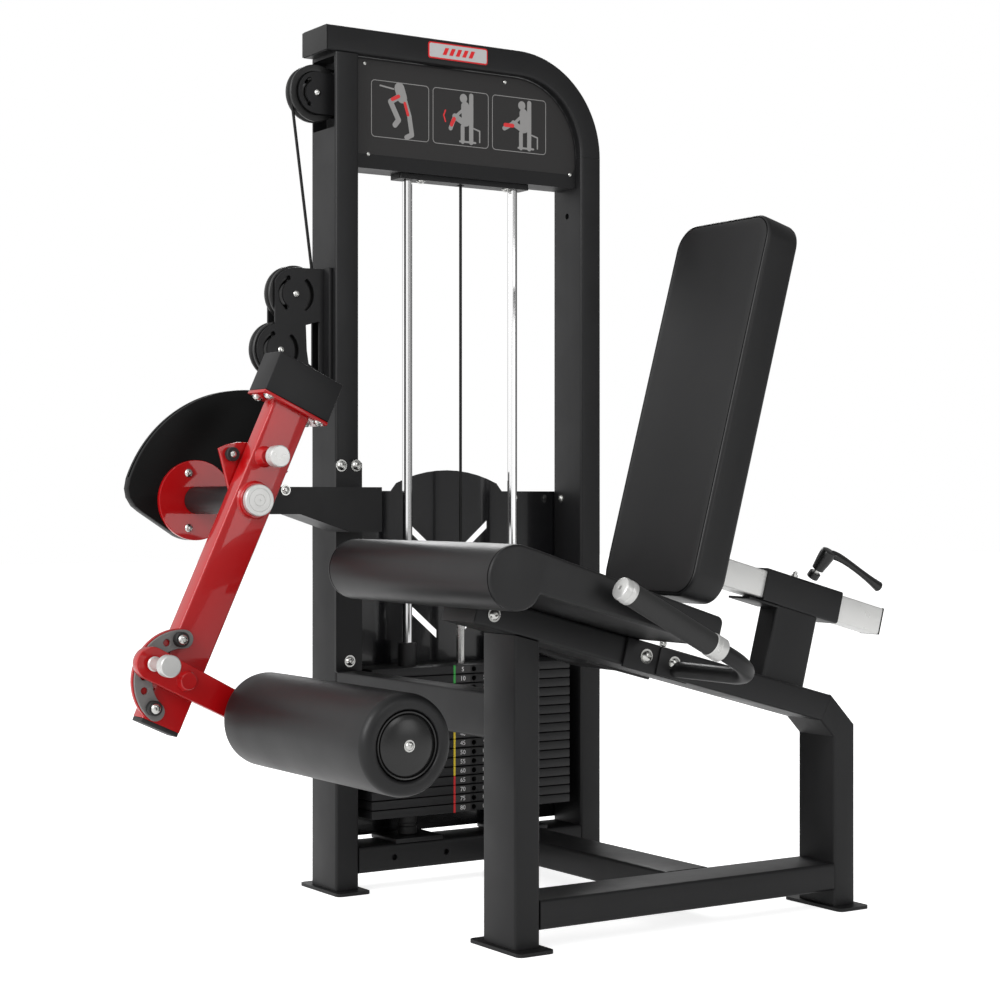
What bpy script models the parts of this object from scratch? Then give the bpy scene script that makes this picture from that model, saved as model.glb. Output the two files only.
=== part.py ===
"""Selectorised leg extension machine: a weight-stack tower beside a seat frame, in metres, +Z up.

+X runs from the knees towards the backrest, +Y from the seat towards the weight tower.
The sub-parts are laid out from the tower's front upright (its near outer bottom corner), and the
empty machine_origin moves that corner so that the world origin is the middle of the footprint.
"""

import math

import bmesh
import bpy
from mathutils import Vector

for old in list(bpy.data.objects):
    bpy.data.objects.remove(old, do_unlink=True)

# Where the footprint's middle lies, seen from the tower's front corner
MIDDLE_X = 0.16682
MIDDLE_Y = -0.3805

GAP = 0.0003  # between pieces that touch
WALL = 0.003  # steel tube wall
MITRE_GAP = 0.0011  # along a mitred end, where the tube's inner corners stand proud
TUBE = 0.05  # frame tube, narrow side
DEEP = 0.10  # frame tube, wide side
TUBE_CORNER = 0.004
FOOT_THICK = 0.006

# Tower
TOWER_MID_Y = DEEP / 2
REAR_UPRIGHT_X = 0.568
ARCH_TOP_Z = 1.647
ARCH_CENTRE = (0.418, 1.447)
BEAM_FRONT_X = -0.018
BASE_LOW_Z, BASE_HIGH_Z = 0.034, 0.084
STACK_X = 0.309
ROD_APART = 0.2468
ROD_RADIUS = 0.010
ROD_HOLE = 0.0105
ROD_PAD_TOP_Z = BASE_HIGH_Z + 0.009
PANEL_LOW_Z = 1.384
ROD_BRACKET_THICK = 0.010
PLATE_PITCH = 0.01812
PLATE_BOTTOM_Z = 0.1333
PLATE_ROWS = 16
LIFTED_ROWS = 5

# Pulleys and cable, in the plane y = TOWER_MID_Y
PULLEY_RADIUS = 0.054
PULLEY_THICK = 0.023
CABLE_CIRCLE = 0.048
CABLE_RADIUS = 0.0025
TOP_PULLEY = (-0.0222, 1.521)
UPPER_PULLEY = (-0.0674, 1.1361)
LOWER_PULLEY = (-0.0998, 1.0296)
STACK_PULLEY = (STACK_X - CABLE_CIRCLE, 1.521)
AXLE_RADIUS = 0.006
CAM_ANCHOR = (-0.0860, 0.9440)

# Leg arm
PIVOT = (-0.2755, 0.7465)
SHAFT_RADIUS = 0.015
ARM_TILT = 24.7
ARM_WIDE = 0.0755
ARM_NEAR_Y, ARM_FAR_Y = -0.2085, -0.1685
ARM_TOP, ARM_BOTTOM = 0.176, -0.4195
ANKLE_DOWN = 0.336
LEVER_TURN = 2.6
LEVER_REACH = 0.1482
ANKLE_PIN_REACH = 0.0695
ARC_RADIUS = 0.0695
RANGE_HOLES_RADIUS = 0.0783
RANGE_PIN_PLACE = (-0.014, 0.0, 0.077)
PIN_RADIUS = 0.006
PIN_HOLE = 0.0066
MOUNT_PLATE_Y = -0.008

# Seat frame
SEAT_Y = -0.572
RAIL_TILT = 15.0
RAIL_TOP_Z = 0.5755
RAIL_FRONT = -0.076
SEAT_LEG_X = -0.006
REAR_LEG_X = 0.693
KNEE_BEND = (0.6743, 0.36975)
LEG_BEND = (0.718, 0.3252)
SLIDER_HIGH = 0.1615
SLEEVE_FRONT, SLEEVE_REAR = 0.5247, 0.7077
SEAT_HALF_WIDE = 0.257


# ---------------------------------------------------------------- collections and finishes

machine = bpy.data.collections.new("leg_extension_machine")
cutters = bpy.data.collections.new("cutters")
bpy.context.scene.collection.children.link(machine)
bpy.context.scene.collection.children.link(cutters)


def finish(name, colour, roughness, metallic=0.0):
    """A Principled material of one colour."""
    made = bpy.data.materials.new(name)
    made.use_nodes = True
    shader = made.node_tree.nodes["Principled BSDF"]
    shader.inputs["Base Color"].default_value = (*colour, 1.0)
    shader.inputs["Roughness"].default_value = roughness
    shader.inputs["Metallic"].default_value = metallic
    return made


def empty(name, parent, location, turn=0.0):
    """A joint's axis or a sub-assembly's frame, turned about Y by turn degrees."""
    axis = bpy.data.objects.new(name, None)
    machine.objects.link(axis)
    axis.parent = parent
    axis.location = location
    axis.rotation_euler = (0.0, math.radians(turn), 0.0)
    return axis


def add(name, data, look, parent, location=(0.0, 0.0, 0.0), rotation=(0.0, 0.0, 0.0)):
    """A named sub-part in its parent's frame, with its own copy of the finish."""
    own = look.copy()
    own.name = f"{name} {look.name}"
    data.materials.append(own)
    made = bpy.data.objects.new(name, data)
    machine.objects.link(made)
    made.parent = parent
    made.location = location
    made.rotation_euler = rotation
    return made


# ---------------------------------------------------------------- outlines


def arc(centre, radius, start, end, steps):
    """Points along an arc from start to end degrees, both ends included."""
    angles = [math.radians(start + (end - start) * i / steps) for i in range(steps + 1)]
    return [(centre[0] + radius * math.cos(a), centre[1] + radius * math.sin(a)) for a in angles]


def circle(centre, radius, steps=20):
    return arc(centre, radius, 0, 360, steps)[:-1]


def rounded(low, high, radius, steps=3):
    """A rectangle with rounded corners."""
    corners = ((high[0] - radius, high[1] - radius, 0), (low[0] + radius, high[1] - radius, 90),
               (low[0] + radius, low[1] + radius, 180), (high[0] - radius, low[1] + radius, 270))
    return [p for x, z, start in corners for p in arc((x, z), radius, start, start + 90, steps)]


# ---------------------------------------------------------------- solids


def box(name, low, high, look, parent, bevel=0.0):
    """A block between two corners, with its edges broken by bevel."""
    low, high = Vector(low), Vector(high)
    bm = bmesh.new()
    bmesh.ops.create_cube(bm, size=1.0)
    bmesh.ops.scale(bm, vec=high - low, verts=bm.verts)
    mesh = bpy.data.meshes.new(name)
    bm.to_mesh(mesh)
    bm.free()
    made = add(name, mesh, look, parent, (low + high) / 2)
    if bevel:
        edge = made.modifiers.new("edges", "BEVEL")
        edge.width = bevel
        edge.segments = 1
    return made


def tube(name, path, look, parent, side=(0, 1, 0), across=TUBE, deep=DEEP, wall=WALL, ends=(None, None)):
    """Rectangular steel tube along path, deep wide along side, mitred at its bends, with open ends."""
    path, side = [Vector(point) for point in path], Vector(side)
    normals = [side.cross((b - a).normalized()) for a, b in zip(path, path[1:])]
    spans = [Vector(ends[0]) if ends[0] else normals[0]]
    for before, after in zip(normals, normals[1:]):
        middle = (before + after).normalized()
        spans.append(middle / middle.dot(after))
    spans.append(Vector(ends[1]) if ends[1] else normals[-1])
    a, d, r = across / 2, deep / 2, TUBE_CORNER
    section = [(a, r - d), (a, d - r), (a - r, d), (r - a, d), (-a, d - r), (-a, r - d), (r - a, -d), (a - r, -d)]
    bm = bmesh.new()
    rings = [[bm.verts.new(point + span * n + side * s) for n, s in section] for point, span in zip(path, spans)]
    for ring, onward in zip(rings, rings[1:]):
        for i in range(len(section)):
            j = (i + 1) % len(section)
            bm.faces.new((ring[i], ring[j], onward[j], onward[i]))
    mesh = bpy.data.meshes.new(name)
    bm.to_mesh(mesh)
    bm.free()
    made = add(name, mesh, look, parent)
    shell = made.modifiers.new("wall", "SOLIDIFY")
    shell.thickness = wall
    shell.offset = -1.0
    shell.use_even_offset = True
    return made


def plate(name, outline, low, high, look, parent, holes=(), flat=False):
    """A flat outline between two depths: standing, with its depth along Y, or flat, with it along Z."""
    curve = bpy.data.curves.new(name, "CURVE")
    curve.dimensions = "2D"
    curve.fill_mode = "BOTH"
    curve.extrude = (high - low) / 2
    for loop in (outline, *holes):
        spline = curve.splines.new("POLY")
        spline.points.add(len(loop) - 1)
        for point, (x, z) in zip(spline.points, loop):
            point.co = (x, z, 0.0, 1.0)
        spline.use_cyclic_u = True
    middle = (low + high) / 2
    place = (0.0, 0.0, middle) if flat else (0.0, middle, 0.0)
    return add(name, curve, look, parent, place, (0.0 if flat else math.pi / 2, 0.0, 0.0))


def turned(name, profile, look, parent, location, upright=False, steps=24, ring=False):
    """A profile of (radius, height) turned about its axis; height runs towards -Y, or up if upright."""
    mesh = bpy.data.meshes.new(name)
    edges = [(i, i + 1) for i in range(len(profile) - 1)]
    if ring:
        edges.append((len(profile) - 1, 0))
    mesh.from_pydata([(radius, 0.0, height) for radius, height in profile], edges, [])
    made = add(name, mesh, look, parent, location, (0.0 if upright else math.pi / 2, 0.0, 0.0))
    turn = made.modifiers.new("turn", "SCREW")
    turn.steps = turn.render_steps = steps
    turn.use_merge_vertices = True
    turn.merge_threshold = 0.00001
    return made


def pipe(name, points, radius, look, parent, resolution=2):
    """A round tube or cable along a smooth row of points."""
    curve = bpy.data.curves.new(name, "CURVE")
    curve.dimensions = "3D"
    curve.bevel_depth = radius
    curve.bevel_resolution = resolution
    curve.use_fill_caps = True
    spline = curve.splines.new("POLY")
    spline.points.add(len(points) - 1)
    for point, place in zip(spline.points, points):
        point.co = (*place, 1.0)
    return add(name, curve, look, parent)


def as_mesh(shape):
    """The same sub-part as a welded mesh, which a Boolean can cut or join."""
    bpy.context.view_layer.update()
    graph = bpy.context.evaluated_depsgraph_get()
    mesh = bpy.data.meshes.new_from_object(shape.evaluated_get(graph), depsgraph=graph)
    bm = bmesh.new()
    bm.from_mesh(mesh)
    bmesh.ops.remove_doubles(bm, verts=bm.verts, dist=0.000001)
    bm.to_mesh(mesh)
    bm.free()
    name, matrix, parent = shape.name, shape.matrix_world.copy(), shape.parent
    bpy.data.objects.remove(shape, do_unlink=True)
    solid = bpy.data.objects.new(name, mesh)
    machine.objects.link(solid)
    solid.parent = parent
    solid.matrix_world = matrix
    return solid


def combine(target, operation, tools):
    """Cuts the tools out of the target, or joins them to it; the tools stay as hidden wires."""
    for tool in tools:
        if tool.type == "CURVE":
            tool = as_mesh(tool)
        machine.objects.unlink(tool)
        cutters.objects.link(tool)
        tool.hide_render = True
        tool.display_type = "WIRE"
        step = target.modifiers.new(tool.name, "BOOLEAN")
        step.operation = operation
        step.object = tool
        step.solver = "EXACT"
    return target


black = finish("satin black steel", (0.030, 0.030, 0.031), 0.42)
red = finish("gloss red steel", (0.70, 0.012, 0.016), 0.16)
chrome = finish("chrome", (0.80, 0.80, 0.80), 0.12, 1.0)
silver = finish("satin silver", (0.78, 0.78, 0.77), 0.34, 0.6)
grey = finish("grey steel", (0.22, 0.22, 0.22), 0.40, 0.4)
plastic = finish("black plastic", (0.022, 0.022, 0.022), 0.38)
rubber = finish("black rubber", (0.020, 0.020, 0.020), 0.75)
leather = finish("black upholstery", (0.024, 0.024, 0.025), 0.50)
shroud_black = finish("smoked cover", (0.018, 0.018, 0.020), 0.25)

origin = empty("machine_origin", None, (-MIDDLE_X, -MIDDLE_Y, 0.0))


# ---------------------------------------------------------------- tower


def make_tower():
    """Two uprights, the bent top beam and the base beam, on two foot plates."""
    front_x = TUBE / 2
    rear_x = REAR_UPRIGHT_X + TUBE / 2
    foot_top = FOOT_THICK + GAP
    upright = tube("front_upright", [(front_x, TOWER_MID_Y, foot_top), (front_x, TOWER_MID_Y, ARCH_TOP_Z - TUBE - GAP)],
                   black, origin)
    window = box("pulley_window", (-0.01, 0.008, 1.455), (0.02, 0.092, 1.590), black, origin)
    slot = box("cable_slot", (0.03, 0.040, 1.555), (0.06, 0.060, 1.582), black, origin)
    combine(upright, "DIFFERENCE", [window, slot])

    beam_z = ARCH_TOP_Z - TUBE / 2
    bend = ARCH_TOP_Z - ARCH_CENTRE[1] - TUBE / 2
    path = [(BEAM_FRONT_X, TOWER_MID_Y, beam_z)]
    path += [(x, TOWER_MID_Y, z) for x, z in arc(ARCH_CENTRE, bend, 90, 0, 9)]
    tube("top_arch", path, black, origin, ends=(None, (-1.0, 0.0, 0.0)))

    rear = tube("rear_upright", [(rear_x, TOWER_MID_Y, foot_top), (rear_x, TOWER_MID_Y, ARCH_CENTRE[1] - GAP)],
                black, origin)
    hole = box("rear_upright_hole", (REAR_UPRIGHT_X - 0.01, 0.045, 1.315), (REAR_UPRIGHT_X + 0.01, 0.055, 1.325),
               black, origin)
    combine(rear, "DIFFERENCE", [hole])

    base_z = (BASE_LOW_Z + BASE_HIGH_Z) / 2
    base = tube("tower_base_beam", [(TUBE + GAP, TOWER_MID_Y, base_z), (REAR_UPRIGHT_X - GAP, TOWER_MID_Y, base_z)],
                black, origin)
    pads = []
    for place, side in (("front", -1), ("rear", 1)):
        x = STACK_X + side * ROD_APART / 2
        pads.append(box(f"rod_pad_{place}", (x - 0.0535, 0.001, BASE_HIGH_Z - 0.002),
                        (x + 0.0535, DEEP - 0.001, ROD_PAD_TOP_Z), black, origin))
    combine(base, "UNION", pads)

    for name, x in (("tower_front_foot", 0.0), ("tower_rear_foot", REAR_UPRIGHT_X)):
        plate(name, rounded((x - 0.011, -0.028), (x + TUBE + 0.011, DEEP + 0.028), 0.010), 0.0, FOOT_THICK,
              black, origin, flat=True)


def make_tower_covers():
    """The display panel under the arch, the rods' top bracket and the rear cover."""
    inner = 0.1490
    face = plate("display_panel", [(TUBE + GAP, PANEL_LOW_Z), (REAR_UPRIGHT_X - GAP, PANEL_LOW_Z)]
                 + arc(ARCH_CENTRE, inner, 0, 90, 10) + [(TUBE + GAP, ARCH_CENTRE[1] + inner)],
                 0.018, 0.0200, black, origin)
    face = as_mesh(face)
    shelf = box("panel_shelf", (TUBE + GAP, 0.019, PANEL_LOW_Z), (REAR_UPRIGHT_X - GAP, 0.080, PANEL_LOW_Z + 0.002),
                black, origin)
    way = box("panel_cable_way", (STACK_X - 0.012, 0.038, PANEL_LOW_Z - 0.01), (STACK_X + 0.012, 0.062, PANEL_LOW_Z + 0.01),
              black, origin)
    combine(face, "UNION", [shelf])
    combine(face, "DIFFERENCE", [way])

    bracket_low = PANEL_LOW_Z - GAP - ROD_BRACKET_THICK
    plate("rod_top_bracket", rounded((0.158, 0.030), (0.460, 0.070), 0.004), bracket_low, PANEL_LOW_Z - GAP,
          black, origin, holes=[circle((STACK_X, TOWER_MID_Y), 0.008, 12)], flat=True)

    peak, shoulder, low = 0.807, 0.765, 0.090
    crown = arc((STACK_X, 0.527), peak - 0.527, 65, 115, 10)
    slots = []
    for row in range(3):
        for side in (-1, 1):
            x, z = STACK_X + side * 0.060, 0.50 + row * 0.080
            lean = side * 0.030
            slots.append([(x - 0.035, z - lean), (x + 0.035, z + lean), (x + 0.035, z + lean + 0.016),
                          (x - 0.035, z - lean + 0.016)])
    plate("rear_shroud", [(0.030, low), (0.588, low), (0.588, shoulder), (0.4400, shoulder)] + crown
          + [(0.1780, shoulder), (0.030, shoulder)], DEEP + GAP, DEEP + 0.0023, shroud_black, origin, holes=slots)


# ---------------------------------------------------------------- weight stack


def rod_holes(radius, steps=12):
    """The two guide rod holes, seen from above."""
    return [circle((side * ROD_APART / 2, 0.0), radius, steps) for side in (-1, 1)]


def make_stack():
    """Guide rods, bumpers and the plates: those above the selector pin rise, the rest stay."""
    pad_top = ROD_PAD_TOP_Z + GAP
    rod_top = PANEL_LOW_Z - ROD_BRACKET_THICK - 2 * GAP
    for place, side in (("front", -1), ("rear", 1)):
        x = STACK_X + side * ROD_APART / 2
        turned(f"guide_rod_{place}", [(0, rod_top), (ROD_RADIUS, rod_top), (ROD_RADIUS, pad_top), (0, pad_top)],
               chrome, origin, (x, TOWER_MID_Y, 0.0), upright=True, steps=16)
        top = PLATE_BOTTOM_Z - GAP
        turned(f"stack_bumper_{place}", [(0.0185, top), (0.0185, pad_top), (ROD_RADIUS + GAP, pad_top),
                                         (ROD_RADIUS + GAP, top)],
               rubber, origin, (x, TOWER_MID_Y, 0.0), upright=True, steps=20, ring=True)

    lift = empty("stack_lift", origin, (STACK_X, TOWER_MID_Y, 0.0))
    rest = empty("stack_rest", origin, (STACK_X, TOWER_MID_Y, 0.0))
    half_wide, half_deep = 0.23125, DEEP / 2
    block = [(-half_wide, -half_deep), (half_wide, -half_deep), (half_wide, half_deep), (-half_wide, half_deep)]
    stem_hole = circle((0.0, 0.0), 0.0092, 12)
    top_z = PLATE_BOTTOM_Z + PLATE_ROWS * PLATE_PITCH
    split_head = top_z - PLATE_PITCH
    split_rest = top_z - LIFTED_ROWS * PLATE_PITCH

    head = plate("head_plate", block, split_head + GAP, top_z, black, lift, holes=[*rod_holes(ROD_HOLE), stem_hole],
                 flat=True)
    head = as_mesh(head)
    sleeves = []
    for side in (-1, 1):
        sleeves.append(turned(f"rod_sleeve_{side + 1}", [(0.0185, top_z + 0.0444), (0.0185, top_z - 0.002),
                                                         (0.0125, top_z - 0.002), (0.0125, top_z + 0.0444)],
                              black, lift, (side * ROD_APART / 2, 0.0, 0.0), upright=True, steps=20, ring=True))
    combine(head, "UNION", sleeves)
    plate("lifted_plates", block, split_rest + GAP, split_head, black, lift, holes=[*rod_holes(ROD_HOLE), stem_hole],
          flat=True)
    plate("resting_plates", block, PLATE_BOTTOM_Z, split_rest, black, rest, holes=[*rod_holes(ROD_HOLE), stem_hole],
          flat=True)
    stem_top = 0.5300
    stem_low = split_rest - PLATE_PITCH * 3
    turned("selector_stem", [(0, stem_top), (0.00875, stem_top), (0.00875, stem_low), (0, stem_low)],
           silver, lift, (0.0, 0.0, 0.0), upright=True, steps=16)
    pin_z = split_rest + PLATE_PITCH / 2
    pin = empty("selector_pin_axis", lift, (0.0, -half_deep, pin_z))
    knob_face, knob_back = 0.046, 0.004
    turned("selector_pin", [(0, knob_face), (0.011, knob_face), (0.012, 0.040), (0.009, 0.020), (0.010, knob_back),
                            (0, knob_back)], red, pin, (0.0, 0.0, 0.0), steps=16)


# ---------------------------------------------------------------- pulleys and cable


def pulley(name, centre):
    """A grooved wheel turning on its axle in the cable's plane."""
    half, rim = PULLEY_THICK / 2, 0.0045
    groove = CABLE_CIRCLE - CABLE_RADIUS - 0.001
    bore = AXLE_RADIUS + GAP
    turned(name, [(bore, half), (PULLEY_RADIUS, half), (PULLEY_RADIUS, rim), (groove, 0.0030), (groove, -0.0030),
                  (PULLEY_RADIUS, -rim), (PULLEY_RADIUS, -half), (bore, -half)],
           plastic, origin, (centre[0], TOWER_MID_Y, centre[1]), steps=28, ring=True)


def cheeks(name, outline, spine, centres, holes=()):
    """Two plates each side of a pulley, joined by a spine and by the pulleys' axles."""
    inner, thick = PULLEY_THICK / 2 + 0.001, 0.005
    near = plate(name, outline, TOWER_MID_Y - inner - thick, TOWER_MID_Y - inner, black, origin, holes=holes)
    far = plate(f"{name}_far", outline, TOWER_MID_Y + inner, TOWER_MID_Y + inner + thick, black, origin, holes=holes)
    near = as_mesh(near)
    back = box(f"{name}_spine", spine[0], spine[1], black, origin)
    joined = [far, back]
    for i, centre in enumerate(centres):
        reach = inner + thick + 0.001
        joined.append(turned(f"{name}_axle_{i}", [(0, reach), (AXLE_RADIUS, reach), (AXLE_RADIUS, -reach), (0, -reach)],
                             black, origin, (centre[0], TOWER_MID_Y, centre[1]), steps=12))
    combine(near, "UNION", joined)


def cross_tangent(start, end, turn):
    """Where a cable that crosses between two equal pulleys leaves the first and meets the second."""
    apart = Vector((end[0] - start[0], end[1] - start[1]))
    lean = math.acos(2 * CABLE_CIRCLE / apart.length)
    angle = math.degrees(math.atan2(apart.y, apart.x) + turn * lean)
    return angle, angle + 180.0


def make_pulleys():
    """Four pulleys, their brackets and the cable from the stack to the cam."""
    pulley("top_pulley", TOP_PULLEY)
    pulley("upper_guide_pulley", UPPER_PULLEY)
    pulley("lower_guide_pulley", LOWER_PULLEY)
    pulley("stack_pulley", STACK_PULLEY)

    disc, mount_x = 0.050, -0.004
    neck = -0.112
    upper_neck = math.degrees(math.acos((neck - UPPER_PULLEY[0]) / disc))
    lower_neck = math.degrees(math.acos((neck - LOWER_PULLEY[0]) / disc))
    outline = [(mount_x, UPPER_PULLEY[1] + disc)] + arc(UPPER_PULLEY, disc, 90, upper_neck, 7)
    outline += [(neck, 1.1130), (neck, 1.0785)] + arc(LOWER_PULLEY, disc, lower_neck, 270, 10) + [(mount_x, 0.930)]
    window = [(-0.047, 1.078), (-0.018, 1.086), (-0.018, 0.990), (-0.041, 1.005), (-0.045, 1.030)]
    cheeks("mid_pulley_bracket", outline, ((-0.0080, 0.014, 0.925), (-GAP, 0.086, 1.188)),
           [UPPER_PULLEY, LOWER_PULLEY], holes=[window])

    cheek = arc(TOP_PULLEY, 0.040, 90, 270, 12) + [(0.0440, TOP_PULLEY[1] - 0.040), (0.0440, TOP_PULLEY[1] + 0.034)]
    cheeks("top_pulley_bracket", cheek, ((0.0400, 0.0335, 1.483), (TUBE - WALL - GAP, 0.0665, 1.548)), [TOP_PULLEY])
    x, z = STACK_PULLEY
    beam_low = ARCH_TOP_Z - TUBE - GAP
    hanger = arc((x, z), 0.022, 180, 360, 10) + [(x + 0.022, beam_low - 0.003), (x - 0.022, beam_low - 0.003)]
    cheeks("stack_pulley_bracket", hanger, ((x - 0.045, 0.0325, beam_low - 0.006), (x + 0.045, 0.0675, beam_low)),
           [STACK_PULLEY])

    top_leave, upper_meet = cross_tangent(TOP_PULLEY, UPPER_PULLEY, -1)
    upper_leave, lower_meet = cross_tangent(UPPER_PULLEY, LOWER_PULLEY, 1)
    route = arc(STACK_PULLEY, CABLE_CIRCLE, 0, 90, 8)
    route += arc(TOP_PULLEY, CABLE_CIRCLE, 90, top_leave % 360, 10)
    route += arc(UPPER_PULLEY, CABLE_CIRCLE, upper_meet % 360, upper_leave, 6)
    route += arc(LOWER_PULLEY, CABLE_CIRCLE, lower_meet, 330, 12)
    route += [(CAM_ANCHOR[0], CAM_ANCHOR[1])]
    pipe("lift_cable", [(x, TOWER_MID_Y, z) for x, z in route], CABLE_RADIUS, rubber, origin)
    pipe("stack_cable", [(STACK_X, TOWER_MID_Y, 0.530 + GAP), (STACK_X, TOWER_MID_Y, STACK_PULLEY[1] - GAP)],
         CABLE_RADIUS, rubber, origin)


# ---------------------------------------------------------------- leg arm


def make_pivot_support():
    """The plate on the tower, the bracket that reaches forward and the bearing housing."""
    plate("pivot_mount_plate", rounded((-0.0045, 0.420), (0.0517, 0.8206), 0.004, 1), MOUNT_PLATE_Y, -GAP, black, origin)
    low, top = 0.7212, 0.771
    bracket = plate("pivot_bracket", [(-0.1240, top), (-0.1240, low), (-0.0560, 0.699), (-0.0200, 0.6875),
                                      (0.0480, 0.6875), (0.0480, top)], -0.090, MOUNT_PLATE_Y - GAP, black, origin)
    bracket = as_mesh(bracket)
    reach = box("bracket_reach", (PIVOT[0] + 0.0235, -0.090, low), (-0.120, -0.040, top), black, origin)
    bore = turned("bracket_bore", [(0, 0.2), (0.0253, 0.2), (0.0253, -0.2), (0, -0.2)], black, origin,
                  (PIVOT[0], -0.05, PIVOT[1]), steps=32)
    combine(bracket, "UNION", [reach])
    combine(bracket, "DIFFERENCE", [bore])
    outer, inner = 0.025, SHAFT_RADIUS + GAP
    turned("pivot_housing", [(outer, 0.155), (outer, -0.0272), (inner, -0.0272), (inner, 0.155)], black, origin,
           (PIVOT[0], 0.0, PIVOT[1]), steps=32, ring=True)


def make_cam(cam_pivot):
    """The cam, its red disc and the range plate, all fixed on the pivot shaft."""
    hub_hole = circle((0, 0), SHAFT_RADIUS + GAP, 20)
    arc_centre, arc_radius, hub = (0.110, -0.0438), 0.2495, 0.0735
    left = [(-0.1285, 0.0215), (-0.1255, 0.005), (-0.1155, -0.0108), (-0.102, -0.0212)]
    outline = arc(arc_centre, arc_radius, 71, 160.5, 20) + left + arc((0, 0), hub, 242, 352, 12) + [(0.186, 0.150)]
    plate("cam", outline, 0.038, 0.062, black, cam_pivot, holes=[hub_hole])
    plate("cam_disc", circle((0, 0), hub, 36), 0.0280, 0.0377, red, cam_pivot, holes=[hub_hole])
    spread, small = 0.102, 0.030
    pins = [circle((RANGE_HOLES_RADIUS * math.cos(math.radians(a)), RANGE_HOLES_RADIUS * math.sin(math.radians(a))),
                   PIN_HOLE, 12) for a in (45.6, 60.6, 75.6)]
    plate("range_plate", arc((0, 0), spread, 30, 117, 12) + arc((0, 0), small, 150, 360, 12), -0.165, -0.157,
          red, cam_pivot, holes=[hub_hole, *pins])
    near, cap = 0.2295, 0.2190
    turned("pivot_shaft", [(0, near), (0.0265, near), (0.0275, near - 0.001), (0.0275, cap), (SHAFT_RADIUS, cap),
                           (SHAFT_RADIUS, -0.066), (0, -0.066)], silver, cam_pivot, (0, 0, 0), steps=32)


def make_arm(arm_pivot):
    """The leg arm, its counterweight, and the range pin, drawn out of the range plate's holes."""
    middle_y = (ARM_NEAR_Y + ARM_FAR_Y) / 2
    arm = tube("leg_arm", [(0, middle_y, ARM_BOTTOM), (0, middle_y, ARM_TOP)], red, arm_pivot, across=ARM_WIDE,
               deep=ARM_FAR_Y - ARM_NEAR_Y)
    hub = turned("arm_hub", [(0, 0.2187), (0.031, 0.2187), (0.031, 0.1690), (0, 0.1690)], red, arm_pivot,
                 (0, 0, 0), steps=32)
    seat_plate = box("arm_top_plate", (-0.068, -0.222, ARM_TOP - 0.001), (0.068, -0.158, ARM_TOP + 0.006), red,
                     arm_pivot)
    boss = turned("range_pin_boss", [(0, 0.2245), (0.0145, 0.2245), (0.018, 0.2070), (0, 0.2070)], red, arm_pivot,
                  RANGE_PIN_PLACE, steps=20)
    arc_back = plate("arc_backing", arc_band(ARC_RADIUS, 0.036, 86, 227), ARM_NEAR_Y + 0.0002, ARM_NEAR_Y + 0.008,
                     red, arm_pivot)
    web = box("arc_web", (-0.062, ARM_NEAR_Y + 0.0004, -ANKLE_DOWN - 0.030), (0.010, ARM_NEAR_Y + 0.0076,
                                                                               -ANKLE_DOWN + 0.022), red, arm_pivot)
    combine(arm, "UNION", [hub, seat_plate, boss, arc_back, web])
    bore = turned("arm_bore", [(0, 0.3), (SHAFT_RADIUS + GAP, 0.3), (SHAFT_RADIUS + GAP, 0.1), (0, 0.1)], red,
                  arm_pivot, (0, 0, 0), steps=24)
    way = turned("range_pin_way", [(0, 0.3), (PIN_HOLE, 0.3), (PIN_HOLE, 0.1), (0, 0.1)], red, arm_pivot,
                 RANGE_PIN_PLACE, steps=12)
    combine(arm, "DIFFERENCE", [bore, way])

    box("counterweight", (-0.068, -0.222, ARM_TOP + 0.006 + GAP), (0.068, -0.158, 0.256), black, arm_pivot,
        bevel=0.002)
    pin = empty("range_pin_axis", arm_pivot, RANGE_PIN_PLACE)
    collar, nose = 0.2340, 0.1667
    turned("range_pin", [(0, 0.270), (0.017, 0.270), (0.019, 0.2685), (0.019, 0.248), (0.012, 0.244), (0.012, collar),
                         (PIN_RADIUS, collar), (PIN_RADIUS, nose), (0, nose)], silver, pin, (0, 0, 0), steps=24)


def arc_band(radius, width, start, end, steps=12):
    """A round-ended band about the ankle hub, in the arm's frame, its angles counted from level."""
    centre = (0.0, -ANKLE_DOWN)
    start, end, half = start + ARM_TILT, end + ARM_TILT, width / 2
    tips = []
    for angle, first in ((end, end), (start, start + 180)):
        tip = arc(centre, radius, angle, angle, 1)[0]
        tips.append(arc(tip, half, first, first + 180, 6)[1:-1])
    return (arc(centre, radius + half, start, end, steps) + tips[0]
            + arc(centre, radius - half, end, start, steps) + tips[1])


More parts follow.
